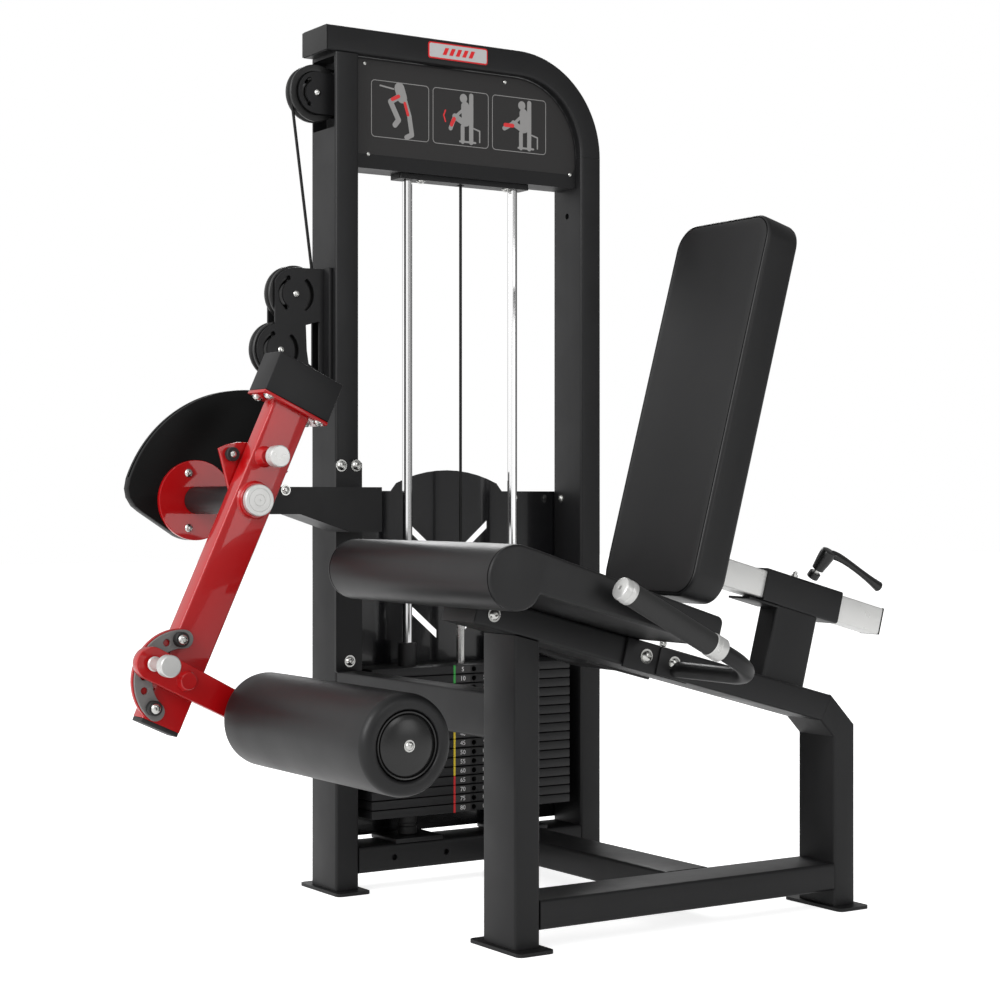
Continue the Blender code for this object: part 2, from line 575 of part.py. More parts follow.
def make_ankle(arm_pivot, ankle_pivot):
    """The arc plate on the arm, the lever that carries the roller, and its pin, drawn out of the plate."""
    face = ARM_NEAR_Y - GAP
    plate("ankle_arc_plate", arc_band(ARC_RADIUS, 0.032, 85, 228, 16), face - 0.006, face, grey, arm_pivot,
          holes=[circle(arc((0.0, -ANKLE_DOWN), ARC_RADIUS, a + ARM_TILT, a + ARM_TILT, 1)[0], PIN_HOLE, 12)
                 for a in (112.7, 132.7, 152.7, 172.7, 192.7)])
    back, front, half = face - 0.006 - GAP, face - 0.0263, 0.028
    outline = arc((-ANKLE_PIN_REACH, 0), half, 90, 270, 12) + arc((LEVER_REACH, 0), 0.024, -90, 90, 12)
    lever = plate("ankle_lever", outline, front, back, red, ankle_pivot)
    lever = as_mesh(lever)
    axle = turned("roller_axle", [(0, 0.7440), (0.0125, 0.7440), (0.0125, 0.2200), (0, 0.2200)], red, ankle_pivot,
                  (LEVER_REACH, 0, 0), steps=20)
    hub = turned("lever_hub", [(0, 0.2460), (0.015, 0.2460), (0.017, 0.2330), (0, 0.2330)], red, ankle_pivot,
                 (0, 0, 0), steps=20)
    way = turned("ankle_pin_way", [(0, 0.4), (PIN_HOLE, 0.4), (PIN_HOLE, 0.1), (0, 0.1)], red, ankle_pivot,
                 (-ANKLE_PIN_REACH, 0, 0), steps=12)
    combine(lever, "UNION", [axle, hub])
    combine(lever, "DIFFERENCE", [way])

    pin = empty("ankle_pin_axis", ankle_pivot, (-ANKLE_PIN_REACH, 0.0, 0.0))
    collar, nose = 0.2420, 0.2158
    turned("ankle_pin", [(0, 0.310), (0.017, 0.310), (0.0185, 0.3085), (0.0185, 0.290), (0.013, 0.286),
                         (0.013, collar), (PIN_RADIUS, collar), (PIN_RADIUS, nose), (0, nose)],
           silver, pin, (0, 0, 0), steps=24)
    roller = empty("roller_axis", ankle_pivot, (LEVER_REACH, 0.0, 0.0))
    near, far, outer, bore = 0.748, 0.260, 0.080, 0.0125 + GAP
    turned("ankle_roller", [(bore, 0.728), (0.0545, 0.728), (0.0545, near), (0.070, near), (outer, near - 0.010),
                            (outer, far + 0.010), (0.070, far), (bore, far)],
           leather, roller, (0, 0, 0), steps=36, ring=True)


# ---------------------------------------------------------------- seat frame


def make_seat_frame(rail_line):
    """The sloping seat rail on two legs, the low beam, and the beams across to the tower."""
    slope = math.tan(math.radians(RAIL_TILT))
    foot_top = FOOT_THICK + GAP
    leg_x = SEAT_LEG_X + TUBE / 2
    rail_under = RAIL_TOP_Z - TUBE / math.cos(math.radians(RAIL_TILT))
    leg_top = rail_under - slope * leg_x - MITRE_GAP
    tube("seat_front_leg", [(leg_x, SEAT_Y, foot_top), (leg_x, SEAT_Y, leg_top)], black, origin,
         ends=(None, (1.0, 0.0, -slope)))

    corner = Vector((KNEE_BEND[0], 0, KNEE_BEND[1] - RAIL_TOP_Z))
    turn = math.radians(RAIL_TILT)
    reach = corner.x * math.cos(turn) - corner.z * math.sin(turn)
    knee_lean = math.radians(45 - RAIL_TILT) / 2
    tube("seat_rail", [(RAIL_FRONT, 0, -TUBE / 2), (reach - MITRE_GAP, 0, -TUBE / 2)], black, rail_line,
         ends=(None, (-math.tan(knee_lean), 0, -1.0)))
    lean = math.radians(45) - knee_lean
    middle = Vector((-math.sin(lean), 0, -math.cos(lean))) / math.cos(knee_lean)
    knee = (KNEE_BEND[0] + MITRE_GAP / 2, SEAT_Y, KNEE_BEND[1] - MITRE_GAP / 2)
    tube("seat_rear_leg", [knee, (LEG_BEND[0], SEAT_Y, LEG_BEND[1]), (LEG_BEND[0], SEAT_Y, foot_top)],
         black, origin, ends=(tuple(middle), None))
    base_z = (BASE_LOW_Z + BASE_HIGH_Z) / 2
    tube("seat_base_beam", [(SEAT_LEG_X + TUBE + GAP, SEAT_Y, base_z), (REAR_LEG_X - GAP, SEAT_Y, base_z)],
         black, origin)
    link_x, link_wide = 0.430, 0.100
    seat_far_y = SEAT_Y + DEEP / 2
    tube("base_link_beam", [(link_x, seat_far_y + GAP, base_z), (link_x, -GAP, base_z)], black, origin,
         side=(1, 0, 0), deep=link_wide)
    knee_low, knee_high = 0.346, 0.4235
    knee_z = (knee_low + knee_high) / 2
    tube("knee_link_beam", [(0.022, seat_far_y + GAP, knee_z), (0.022, MOUNT_PLATE_Y - 2 * GAP, knee_z)], black, origin,
         side=(1, 0, 0), deep=TUBE, across=knee_high - knee_low)
    for name, x in (("seat_front_foot", SEAT_LEG_X), ("seat_rear_foot", REAR_LEG_X)):
        plate(name, rounded((x - 0.011, SEAT_Y - 0.078), (x + TUBE + 0.011, SEAT_Y + 0.078), 0.010), 0.0, FOOT_THICK,
              black, origin, flat=True)


def make_handles(rail_line):
    """A bent tube each side of the seat, bolted to the rail, with a rubber grip."""
    grip_start, grip_end, corner = (0.036, 0.605), (0.214, 0.511), (0.320, 0.455)
    out, bend, plate_thick = 0.298, 0.085, 0.006
    along = Vector((corner[0] - grip_start[0], 0, corner[1] - grip_start[1])).normalized()
    for name, side in (("near", -1), ("far", 1)):
        y = SEAT_Y + side * out
        across = Vector((0, -side, 0))
        turn_start = Vector((corner[0], y, corner[1])) - along * bend
        centre = turn_start + across * bend
        rail_face = SEAT_Y + side * (DEEP / 2 + GAP)
        points = [Vector((grip_end[0], y, grip_end[1])) + along * GAP]
        for i in range(9):
            a = math.radians(90 * i / 8)
            points.append(centre - across * bend * math.cos(a) + along * bend * math.sin(a))
        points.append(Vector((corner[0], rail_face + side * 0.003, corner[1])))
        handle = as_mesh(pipe(f"handle_{name}", points, 0.014, black, origin, resolution=3))
        lug_face = side * (DEEP / 2 + GAP)
        lug = box(f"handle_lug_{name}", (0.230, lug_face, -0.053), (0.372, lug_face + side * plate_thick, -0.002),
                  black, rail_line)
        combine(handle, "UNION", [lug])
        start = Vector((grip_start[0], y, grip_start[1]))
        end = Vector((grip_end[0], y, grip_end[1]))
        pipe(f"grip_{name}", [start, (start + end) / 2, end], 0.019, rubber, origin, resolution=4)


def make_seat(rail_line):
    """The seat cushion: a thick roll under the knees that runs on into the sloping pad."""
    roll_centre, roll_radius = (-0.1469, 0.0150), 0.0523
    top_front, top_rear, under = 0.0655, 0.0500, GAP
    rear = 0.2640
    outline = arc(roll_centre, roll_radius, 90, 330, 16) + [(RAIL_FRONT - 0.016, under), (rear - 0.004, under),
                                                            (rear, under + 0.004)]
    outline += arc((rear - 0.012, top_rear - 0.012), 0.012, 0, 80, 3) + [(-0.060, top_front - 0.002)]
    y = SEAT_HALF_WIDE
    plate("seat_cushion", outline, -y, y, leather, rail_line)


def make_backrest(rail_line):
    """The post and sleeve on the rail, and the slider, bracket and pad that move in it."""
    half = TUBE / 2
    centre = (SLEEVE_FRONT + SLEEVE_REAR) / 2 - 0.0024
    sleeve_half = 0.030
    low, high = SLIDER_HIGH - sleeve_half, SLIDER_HIGH + sleeve_half
    tube("backrest_post", [(centre, 0, GAP), (centre, 0, low - GAP)], black, rail_line, across=DEEP, deep=TUBE)
    tube("slider_sleeve", [(SLEEVE_FRONT, 0, SLIDER_HIGH), (SLEEVE_REAR, 0, SLIDER_HIGH)], black, rail_line,
         across=2 * sleeve_half, deep=2 * sleeve_half, wall=sleeve_half - half - GAP)
    slide = empty("backrest_slide", rail_line, (0.0, 0.0, SLIDER_HIGH))
    slider_front, slider_rear, bracket_thick = 0.3630, 0.8189, 0.006
    tube("slider_tube", [(slider_front, 0, 0), (slider_rear, 0, 0)], silver, slide, deep=TUBE)
    box("backrest_bracket", (slider_front - GAP - bracket_thick, -0.040, -0.040),
        (slider_front - GAP, 0.040, 0.220), black, slide)
    lean = math.radians(0.5)
    pad = empty("backrest_frame", slide, (0.3195, 0.0, 0.2675), math.degrees(lean))
    half_wide, half_tall, half_thick = 0.130, 0.345, 0.0375
    soft = plate("backrest_pad", rounded((-half_tall, -half_wide), (half_tall, half_wide), 0.045, 5),
                 -half_thick, half_thick, leather, pad, flat=True)
    soft.rotation_euler = (0.0, math.pi / 2, 0.0)

    boss_tilt = math.radians(33)
    clamp = empty("clamp_axis", rail_line, (0.6240, -0.028, high + GAP))
    clamp.rotation_euler = (boss_tilt, 0.0, 0.0)
    boss = turned("clamp_lever", [(0, 0.062), (0.013, 0.062), (0.015, 0.050), (0.011, 0.022), (0.011, 0.008),
                                  (0, 0.008)], plastic, clamp, (0, 0, 0), upright=True, steps=16)
    handle = pipe("clamp_handle", [(0.004, 0, 0.054), (0.045, -0.010, 0.060), (0.085, -0.020, 0.050),
                                   (0.108, -0.026, 0.040)], 0.0085, plastic, clamp)
    combine(boss, "UNION", [handle])


make_tower()
make_tower_covers()
make_stack()
make_pulleys()
make_pivot_support()
cam_axis = empty("cam_pivot", origin, (PIVOT[0], 0.0, PIVOT[1]))
make_cam(cam_axis)
arm_axis = empty("arm_pivot", cam_axis, (0.0, 0.0, 0.0), ARM_TILT)
make_arm(arm_axis)
ankle_axis = empty("ankle_pivot", arm_axis, (0.0, 0.0, -ANKLE_DOWN), LEVER_TURN)
make_ankle(arm_axis, ankle_axis)
rail = empty("rail_line", origin, (0.0, SEAT_Y, RAIL_TOP_Z), RAIL_TILT)
make_seat_frame(rail)
make_handles(rail)
make_seat(rail)
make_backrest(rail)
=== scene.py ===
import math

import bmesh
import bpy
from mathutils import Matrix, Vector


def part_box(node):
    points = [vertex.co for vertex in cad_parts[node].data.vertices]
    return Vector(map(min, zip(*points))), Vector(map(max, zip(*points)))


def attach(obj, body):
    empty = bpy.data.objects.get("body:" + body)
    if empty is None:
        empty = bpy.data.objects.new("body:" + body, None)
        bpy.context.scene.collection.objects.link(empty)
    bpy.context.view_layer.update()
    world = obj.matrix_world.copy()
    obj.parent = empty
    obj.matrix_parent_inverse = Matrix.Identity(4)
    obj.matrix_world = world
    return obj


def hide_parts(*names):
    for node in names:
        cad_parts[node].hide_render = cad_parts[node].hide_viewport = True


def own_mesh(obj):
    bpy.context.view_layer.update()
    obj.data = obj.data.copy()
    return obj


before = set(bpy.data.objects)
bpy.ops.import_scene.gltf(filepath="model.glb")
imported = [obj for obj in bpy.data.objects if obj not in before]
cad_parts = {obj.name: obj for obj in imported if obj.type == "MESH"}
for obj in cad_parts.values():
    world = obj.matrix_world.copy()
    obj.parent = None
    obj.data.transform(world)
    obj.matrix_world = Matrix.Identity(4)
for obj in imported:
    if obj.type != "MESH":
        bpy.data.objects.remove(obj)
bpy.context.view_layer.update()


# ---------------------------------------------------------------- viewpoint and stage
# The machine stands on a plain pale floor under soft studio light: a broad key from the left and
# above, a weaker fill from the right, and a white surround that the painted steel reflects.

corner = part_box("front_upright")[0]
corner.z = 0.0
tower = Matrix.Translation(corner)

eye = bpy.data.objects.new("camera", bpy.data.cameras.new("camera"))
bpy.context.scene.collection.objects.link(eye)
eye.data.lens = 75.5
eye.data.clip_end = 60.0
eye.location = tower @ Vector((-1.9113, -3.4912, 0.7470))
eye.rotation_euler = (math.pi / 2, 0.0, -math.atan2(0.547, 0.837))
bpy.context.scene.camera = eye


def linear(code):
    """An sRGB hex colour as linear RGBA."""
    parts = [int(code[i:i + 2], 16) / 255 for i in (1, 3, 5)]
    return (*[p / 12.92 if p <= 0.04045 else ((p + 0.055) / 1.055) ** 2.4 for p in parts], 1.0)


def lamp(name, place, aim, size, power):
    """A soft square light."""
    made = bpy.data.objects.new(name, bpy.data.lights.new(name, "AREA"))
    bpy.context.scene.collection.objects.link(made)
    made.data.size = size
    made.data.energy = power
    made.location = place
    made.rotation_euler = (Vector(aim) - Vector(place)).to_track_quat("-Z", "Y").to_euler()


lamp("key", (-3.6, -0.8, 2.6), (0.0, 0.0, 0.8), 2.2, 75)
lamp("fill", (0.2, -4.6, 3.4), (0.1, 0.0, 0.9), 1.8, 26)
lamp("rim", (1.5, 2.8, 2.8), (0.0, 0.2, 0.8), 1.6, 60)
lamp("card", (1.22, -3.20, 1.15), (-0.44, 0.17, 0.95), 1.1, 7.5)

def node(tree, kind, inputs, **settings):
    """Adds a node; an input takes a value or the output that feeds it."""
    made = tree.nodes.new(kind)
    for name, value in settings.items():
        setattr(made, name, value)
    for name, value in inputs.items():
        if isinstance(value, bpy.types.NodeSocket):
            tree.links.new(value, made.inputs[name])
        else:
            made.inputs[name].default_value = value
    return made


world = bpy.data.worlds.new("studio")
bpy.context.scene.world = world
world.use_nodes = True
air = world.node_tree
direction = node(air, "ShaderNodeSeparateXYZ", {0: node(air, "ShaderNodeTexCoord", {}).outputs["Generated"]})
sideways = node(air, "ShaderNodeMapRange", {"Value": direction.outputs["X"], "From Min": -0.7,
                                            "From Max": 0.3, "To Min": 1.15, "To Max": 0.30})
seen = node(air, "ShaderNodeLightPath", {}).outputs["Is Camera Ray"]
strength = node(air, "ShaderNodeMix", {0: seen, 2: sideways.outputs["Result"], 3: 1.0})
sky = air.nodes["Background"].inputs
sky["Color"].default_value = linear("#ffffff")
air.links.new(strength.outputs[0], sky["Strength"])
bpy.context.scene.view_settings.view_transform = "Standard"

bpy.ops.mesh.primitive_plane_add(size=40.0, location=(0.0, 0.0, -0.0005))
floor = bpy.context.object
floor.name = "floor"
pale = bpy.data.materials.new("pale studio floor")
pale.use_nodes = True
ground = pale.node_tree.nodes["Principled BSDF"].inputs
ground["Base Color"].default_value = linear("#e4e4e4")
ground["Roughness"].default_value = 0.9
ground["Emission Color"].default_value = linear("#ffffff")
seen = node(pale.node_tree, "ShaderNodeLightPath", {}).outputs["Is Camera Ray"]
glow = node(pale.node_tree, "ShaderNodeMix", {0: seen, 2: 0.28, 3: 0.80})
pale.node_tree.links.new(glow.outputs[0], ground["Emission Strength"])
floor.data.materials.append(pale)


# ---------------------------------------------------------------- welded frame
# Rectangular steel tube with rounded corners, cut, mitred and welded, then powder coated in satin
# black. The coat leaves a very fine orange-peel skin and a slightly uneven gloss.


def finish(name, colour, roughness, metallic=0.0, coat=0.0, peel_mm=0.0, peel_depth_mm=0.0, uneven=0.0,
           tint=None, shine=0.5):
    """A painted, plated or moulded surface: peel_mm is the width of its skin's ripples."""
    made = bpy.data.materials.new(name)
    made.use_nodes = True
    tree = made.node_tree
    shader = tree.nodes["Principled BSDF"]
    shader.inputs["Base Color"].default_value = linear(colour)
    shader.inputs["Roughness"].default_value = roughness
    shader.inputs["Metallic"].default_value = metallic
    shader.inputs["Specular IOR Level"].default_value = shine
    shader.inputs["Coat Weight"].default_value = coat
    shader.inputs["Coat Roughness"].default_value = 0.04
    place = node(tree, "ShaderNodeTexCoord", {}).outputs["Object"]
    if peel_mm:
        ripple = node(tree, "ShaderNodeTexNoise", {"Vector": place, "Scale": 1000 / peel_mm, "Detail": 2.0})
        skin = node(tree, "ShaderNodeBump", {"Height": ripple.outputs["Fac"],
                                             "Distance": peel_depth_mm / 1000, "Strength": 0.6})
        tree.links.new(skin.outputs["Normal"], shader.inputs["Normal"])
    if uneven:
        cloud = node(tree, "ShaderNodeTexNoise", {"Vector": place, "Scale": 14.0, "Detail": 4.0})
        spread = node(tree, "ShaderNodeMapRange", {"Value": cloud.outputs["Fac"], "From Min": 0.3,
                                                   "From Max": 0.7, "To Min": roughness - uneven,
                                                   "To Max": roughness + uneven})
        tree.links.new(spread.outputs["Result"], shader.inputs["Roughness"])
    if tint:
        cloud = node(tree, "ShaderNodeTexNoise", {"Vector": place, "Scale": 9.0, "Detail": 5.0})
        shade = node(tree, "ShaderNodeMix", {"Factor": cloud.outputs["Fac"]}, data_type="RGBA")
        shade.inputs[6].default_value = linear(colour)
        shade.inputs[7].default_value = linear(tint)
        tree.links.new(shade.outputs[2], shader.inputs["Base Color"])
    return made


powder_black = finish("satin black powder coat", "#141415", 0.42, peel_mm=1.1, peel_depth_mm=0.05,
                      uneven=0.05, tint="#1a1a1b", shine=0.30)


def pick(*pieces):
    """Selects these pieces alone, the first of them active."""
    bpy.ops.object.select_all(action="DESELECT")
    for made in pieces:
        made.select_set(True)
    bpy.context.view_layer.objects.active = pieces[0]


def as_mesh(made):
    """Turns a curve, a text or a piece with modifiers into a plain mesh."""
    pick(made)
    bpy.ops.object.convert(target="MESH")
    return bpy.context.view_layer.objects.active


def placed(name, data, matrix):
    """A new object of data, set in place."""
    made = bpy.data.objects.new(name, data)
    bpy.context.scene.collection.objects.link(made)
    made.matrix_world = matrix
    return made


def settle(made, name, body, look, replaced=(), angle=30.0):
    """Applies a piece's modifiers and place, shades it, paints it and fixes it to its body."""
    made = as_mesh(made)
    bpy.ops.object.transform_apply(location=True, rotation=True, scale=True)
    bpy.ops.object.shade_smooth_by_angle(angle=math.radians(angle))
    made.name = made.data.name = name
    made.data.materials.clear()
    made.data.materials.append(look)
    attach(made, body)
    if replaced:
        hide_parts(*replaced)
    return made


def from_bmesh(bm, matrix):
    """An object from an edited mesh, its doubles merged and its faces outward, set in place."""
    bmesh.ops.remove_doubles(bm, verts=bm.verts, dist=0.00001)
    bmesh.ops.recalc_face_normals(bm, faces=bm.faces)
    mesh = bpy.data.meshes.new("piece")
    bm.to_mesh(mesh)
    bm.free()
    return placed("piece", mesh, matrix)


def arc(centre, radius, start, end, steps):
    """Points along an arc, from start to end degrees."""
    angles = [math.radians(start + (end - start) * i / steps) for i in range(steps + 1)]
    return [(centre[0] + radius * math.cos(a), centre[1] + radius * math.sin(a)) for a in angles]


def rounded(low, high, radius, steps=6):
    """A rectangle with round corners."""
    spots = ((high[0] - radius, high[1] - radius, 0), (low[0] + radius, high[1] - radius, 90),
             (low[0] + radius, low[1] + radius, 180), (high[0] - radius, low[1] + radius, 270))
    return [p for x, z, start in spots for p in arc((x, z), radius, start, start + 90, steps)]


def bridge(bm, rings):
    """Joins each ring of points to the next with a row of faces."""
    for ring, onward in zip(rings, rings[1:]):
        for i in range(len(ring)):
            j = (i + 1) % len(ring)
            bm.faces.new((ring[i], ring[j], onward[j], onward[i]))


def square_tube(path, matrix, side=(0, 1, 0), across=0.05, deep=0.1, ends=(None, None), radius=0.006):
    """Tube with rounded corners, deep wide along side, through the points of path."""
    path, side = [Vector(point) for point in path], Vector(side)
    normals = [side.cross((b - a).normalized()) for a, b in zip(path, path[1:])]
    spans = [Vector(ends[0]) if ends[0] else normals[0]]
    for before, after in zip(normals, normals[1:]):
        middle = (before + after).normalized()
        spans.append(middle / middle.dot(after))
    spans.append(Vector(ends[1]) if ends[1] else normals[-1])
    section = rounded((-across / 2, -deep / 2), (across / 2, deep / 2), radius, 4)
    bm = bmesh.new()
    rings = [[bm.verts.new(p + span * n + side * s) for n, s in section] for p, span in zip(path, spans)]
    bridge(bm, rings)
    bm.faces.new(rings[0])
    bm.faces.new(rings[-1])
    return from_bmesh(bm, matrix)


def block(low, high, matrix, bevel=0.001, segments=2):
    """A block with broken edges."""
    low, high = Vector(low), Vector(high)
    bm = bmesh.new()
    bmesh.ops.create_cube(bm, size=1.0)
    bmesh.ops.scale(bm, vec=high - low, verts=bm.verts)
    bmesh.ops.translate(bm, vec=(low + high) / 2, verts=bm.verts)
    if bevel:
        bmesh.ops.bevel(bm, geom=bm.edges[:], offset=bevel, segments=segments, affect="EDGES", profile=0.5)
    return from_bmesh(bm, matrix)


def cut(made, tool):
    """Cuts tool out of a piece, and removes the tool."""
    step = made.modifiers.new("cut", "BOOLEAN")
    step.operation = "DIFFERENCE"
    step.object = tool
    step.solver = "EXACT"
    pick(made)
    bpy.ops.object.modifier_apply(modifier="cut")
    bpy.data.objects.remove(tool, do_unlink=True)
    return made


def drill(made, radius, depth, matrix, vertices=24):
    """Drills a round hole along the matrix's Z."""
    bpy.ops.mesh.primitive_cylinder_add(vertices=vertices, radius=radius, depth=depth)
    bpy.context.object.matrix_world = matrix
    return cut(made, bpy.context.object)


UPRIGHT = Matrix.Rotation(math.pi / 2, 4, "X")
GAP = 0.0003
STACK_Y = 0.05
SEAT_Y = -0.572
BASE_Z = 0.059
LINK_Y = -0.5217
TILT = math.radians(15)
foot_top = 0.006 + GAP

upright = square_tube([(0.025, STACK_Y, foot_top), (0.025, STACK_Y, 1.5967)], tower)
cut(upright, block((-0.01, 0.008, 1.455), (0.030, 0.092, 1.590), tower, 0.003))
cut(upright, block((0.02, 0.040, 1.555), (0.06, 0.060, 1.582), tower, 0.0))
settle(upright, "tower_upright_front", "frame", powder_black, ["front_upright"])

bend = [(x, STACK_Y, z) for x, z in arc((0.418, 1.447), 0.175, 90, 0, 28)]
settle(square_tube([(-0.018, STACK_Y, 1.622), *bend], tower, ends=(None, (-1.0, 0.0, 0.0))),
       "tower_top_beam", "frame", powder_black, ["top_arch"])
rear = square_tube([(0.593, STACK_Y, foot_top), (0.593, STACK_Y, 1.4467)], tower)
drill(rear, 0.0062, 0.02, tower @ Matrix.Translation((0.568, STACK_Y, 1.331)) @ Matrix.Rotation(math.pi / 2,
                                                                                                4, "Y"))
settle(rear, "tower_upright_rear", "frame", powder_black, ["rear_upright"])

base = square_tube([(0.0503, STACK_Y, BASE_Z), (0.5677, STACK_Y, BASE_Z)], tower)
for x in (0.128, 0.245):
    drill(base, 0.006, 0.02, tower @ Matrix.Translation((x, 0.0, BASE_Z)) @ UPRIGHT)
settle(base, "tower_base", "frame", powder_black, ["tower_base_beam"])
for place, x in (("front", 0.1856), ("rear", 0.4324)):
    settle(block((x - 0.0535, 0.001, 0.0842), (x + 0.0535, 0.099, 0.093), tower, 0.0015), f"rod_pad_{place}",
           "frame", powder_black)

slope = math.tan(TILT)
rail = tower @ Matrix.Translation((0.0, SEAT_Y, 0.5755)) @ Matrix.Rotation(TILT, 4, "Y")
settle(square_tube([(0.019, SEAT_Y, foot_top), (0.019, SEAT_Y, 0.5177)], tower,
                   ends=(None, (1.0, 0.0, -slope))), "seat_leg_front", "frame", powder_black,
       ["seat_front_leg"])
settle(square_tube([(-0.076, 0, -0.025), (0.7042, 0, -0.025)], rail, ends=(None, (-slope, 0, -1.0))),
       "seat_sloping_rail", "frame", powder_black, ["seat_rail"])
mitre = (-math.sin(2 * TILT) / math.cos(TILT), 0, -math.cos(2 * TILT) / math.cos(TILT))
settle(square_tube([(0.6745, SEAT_Y, 0.3695), (0.718, SEAT_Y, 0.3252), (0.718, SEAT_Y, foot_top)], tower,
                   ends=(mitre, None)), "seat_leg_rear", "frame", powder_black,
       ["seat_rear_leg"])
settle(square_tube([(0.0443, SEAT_Y, BASE_Z), (0.6927, SEAT_Y, BASE_Z)], tower), "seat_base", "frame",
       powder_black, ["seat_base_beam"])
settle(square_tube([(0.430, LINK_Y, BASE_Z), (0.430, -GAP, BASE_Z)], tower, side=(1, 0, 0)), "base_link",
       "frame", powder_black, ["base_link_beam"])
settle(square_tube([(0.022, LINK_Y, 0.38475), (0.022, -0.0086, 0.38475)], tower, side=(1, 0, 0),
                   across=0.0775, deep=0.05), "knee_link", "frame", powder_black,
       ["knee_link_beam"])
settle(square_tube([(0.6138, 0, GAP), (0.6138, 0, 0.1312)], rail, across=0.1, deep=0.05),
       "backrest_post_tube", "frame", powder_black, ["backrest_post"])

plastic_cap = finish("moulded black polyethylene cap", "#161616", 0.55, peel_mm=0.8, peel_depth_mm=0.04)
settle(block((-0.0205, 0.001, 1.5985), (-0.0178, 0.099, 1.6455), tower, 0.001), "top_beam_cap", "frame",
       plastic_cap)
settle(block((-0.0785, -0.049, -0.049), (-0.0757, 0.049, -0.001), rail, 0.001), "rail_cap", "frame",
       plastic_cap)


def paint(look, *names):
    """Gives CAD nodes their finish."""
    for name in names:
        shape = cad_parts[name]
        shape.data.materials.clear()
        shape.data.materials.append(look)


paint(powder_black, "tower_front_foot", "tower_rear_foot", "seat_front_foot", "seat_rear_foot",
      "display_panel", "rod_top_bracket", "pivot_mount_plate", "stack_pulley_bracket", "backrest_bracket")


# ---------------------------------------------------------------- rear cover
# A thin smoked acrylic sheet screwed to the back of the tower, with slanting slots cut through it.

smoked = finish("smoked black acrylic sheet", "#121214", 0.18, coat=0.5, peel_mm=6.0, peel_depth_mm=0.03)
paint(smoked, "rear_shroud")


# ---------------------------------------------------------------- bolts
# Zinc-plated button-head socket screws on flat washers, turned and stamped, with a hexagon socket.

zinc = finish("bright zinc plate", "#c9c9c6", 0.22, metallic=1.0, uneven=0.06)


def turned(profile, matrix, steps):
    """A profile of (radius, height) spun about local Z."""
    bm = bmesh.new()
    verts = [bm.verts.new((radius, 0.0, height)) for radius, height in profile]
    edges = [bm.edges.new(pair) for pair in zip(verts, verts[1:])]
    bmesh.ops.spin(bm, geom=verts + edges, cent=(0, 0, 0), axis=(0, 0, 1), angle=math.tau, steps=steps,
                   use_merge=True)
    return from_bmesh(bm, matrix)


def facing(matrix, place, axis=(0, -1, 0)):
    """A frame at place whose local Z points along axis."""
    return matrix @ Matrix.Translation(place) @ Vector(axis).to_track_quat("Z", "Y").to_matrix().to_4x4()


def merged(pieces):
    """Joins pieces into the first of them."""
    pick(*pieces)
    bpy.ops.object.join()
    return pieces[0]


def screw(matrix, place, axis=(0, -1, 0), head=0.0085, washer=True):
    """One button-head screw with its socket, seen from outside."""
    profile = [(0, 0.28), (0.36, 0.28), (0.36, 0.62), (0.62, 0.58), (0.85, 0.40), (1, 0.16), (1, 0.0)]
    profile = [(head * r, head * z) for r, z in profile]
    if washer:
        thick, wide = 0.0015, 1.35 * head
        profile = [(r, z + thick) for r, z in profile[:-1]] + [(head, thick), (wide, thick), (wide, 0.0)]
    return turned([*profile, (0, 0)], facing(matrix, place, axis), 20)


def screws(name, body, matrix, places, axis=(0, -1, 0), head=0.0085, washer=True):
    """A group of like screws on one body."""
    settle(merged([screw(matrix, place, axis, head, washer) for place in places]), name, body, zinc)


screws("mount_plate_bolts", "frame", tower, [(0.0065, -0.008, 0.812), (0.0389, -0.008, 0.8125),
                                             (0.0246, -0.008, 0.4417)])
screws("panel_screws", "frame", tower, [(0.0715, 0.018, 1.585), (0.394, 0.018, 1.584),
                                        (0.0796, 0.018, 1.4115), (0.553, 0.018, 1.4115)], head=0.0042,
       washer=False)
screws("rail_bolts", "frame", tower, [(-0.048, -0.622, 0.560)], head=0.009)
screws("rod_bracket_nuts", "frame", tower, [(0.2105, 0.040, 1.3736), (0.4105, 0.040, 1.3736)],
       axis=(0, 0, -1), head=0.0070)
screws("shroud_latch", "frame", tower, [(0.5677, 0.070, 0.750)], axis=(-1, 0, 0), head=0.006)


# ---------------------------------------------------------------- guide rods, bumpers and weight stack
# Two polished chromed rods carry sixteen cast plates painted satin black, with thin gaps between
# them. Each plate has a selector hole and a small printed label: green, yellow or red by weight.

chrome = finish("polished hard chrome", "#efefef", 0.10, metallic=1.0)
satin_steel = finish("satin steel bar", "#c4c4c2", 0.24, metallic=1.0, uneven=0.05)
plate_black = finish("weight plate paint", "#151516", 0.46, peel_mm=1.8, peel_depth_mm=0.08, tint="#1c1c1d",
                     shine=0.35)
soft_rubber = finish("moulded black rubber", "#151515", 0.62, peel_mm=0.9, peel_depth_mm=0.06)
paint(chrome, "guide_rod_front", "guide_rod_rear")
paint(satin_steel, "selector_stem")

STACK = (0.309, STACK_Y)
ROD_SIDE = 0.1234
PITCH = 0.01812
LOW = 0.1333
stack = tower @ Matrix.Translation((*STACK, 0.0))

for place, side in (("front", -1), ("rear", 1)):
    at = stack @ Matrix.Translation((side * ROD_SIDE, 0, 0))
    bumper = turned([(0.0103, 0.0933), (0.0150, 0.0933), (0.0185, 0.0950), (0.0185, 0.1080), (0.0168, 0.1100),
                     (0.0168, 0.1150), (0.0185, 0.1170), (0.0185, 0.1310), (0.0165, 0.1330), (0.0103, 0.1330),
                     (0.0103, 0.0933)], at, 40)
    settle(bumper, f"rubber_bumper_{place}", "frame", soft_rubber, [f"stack_bumper_{place}"])


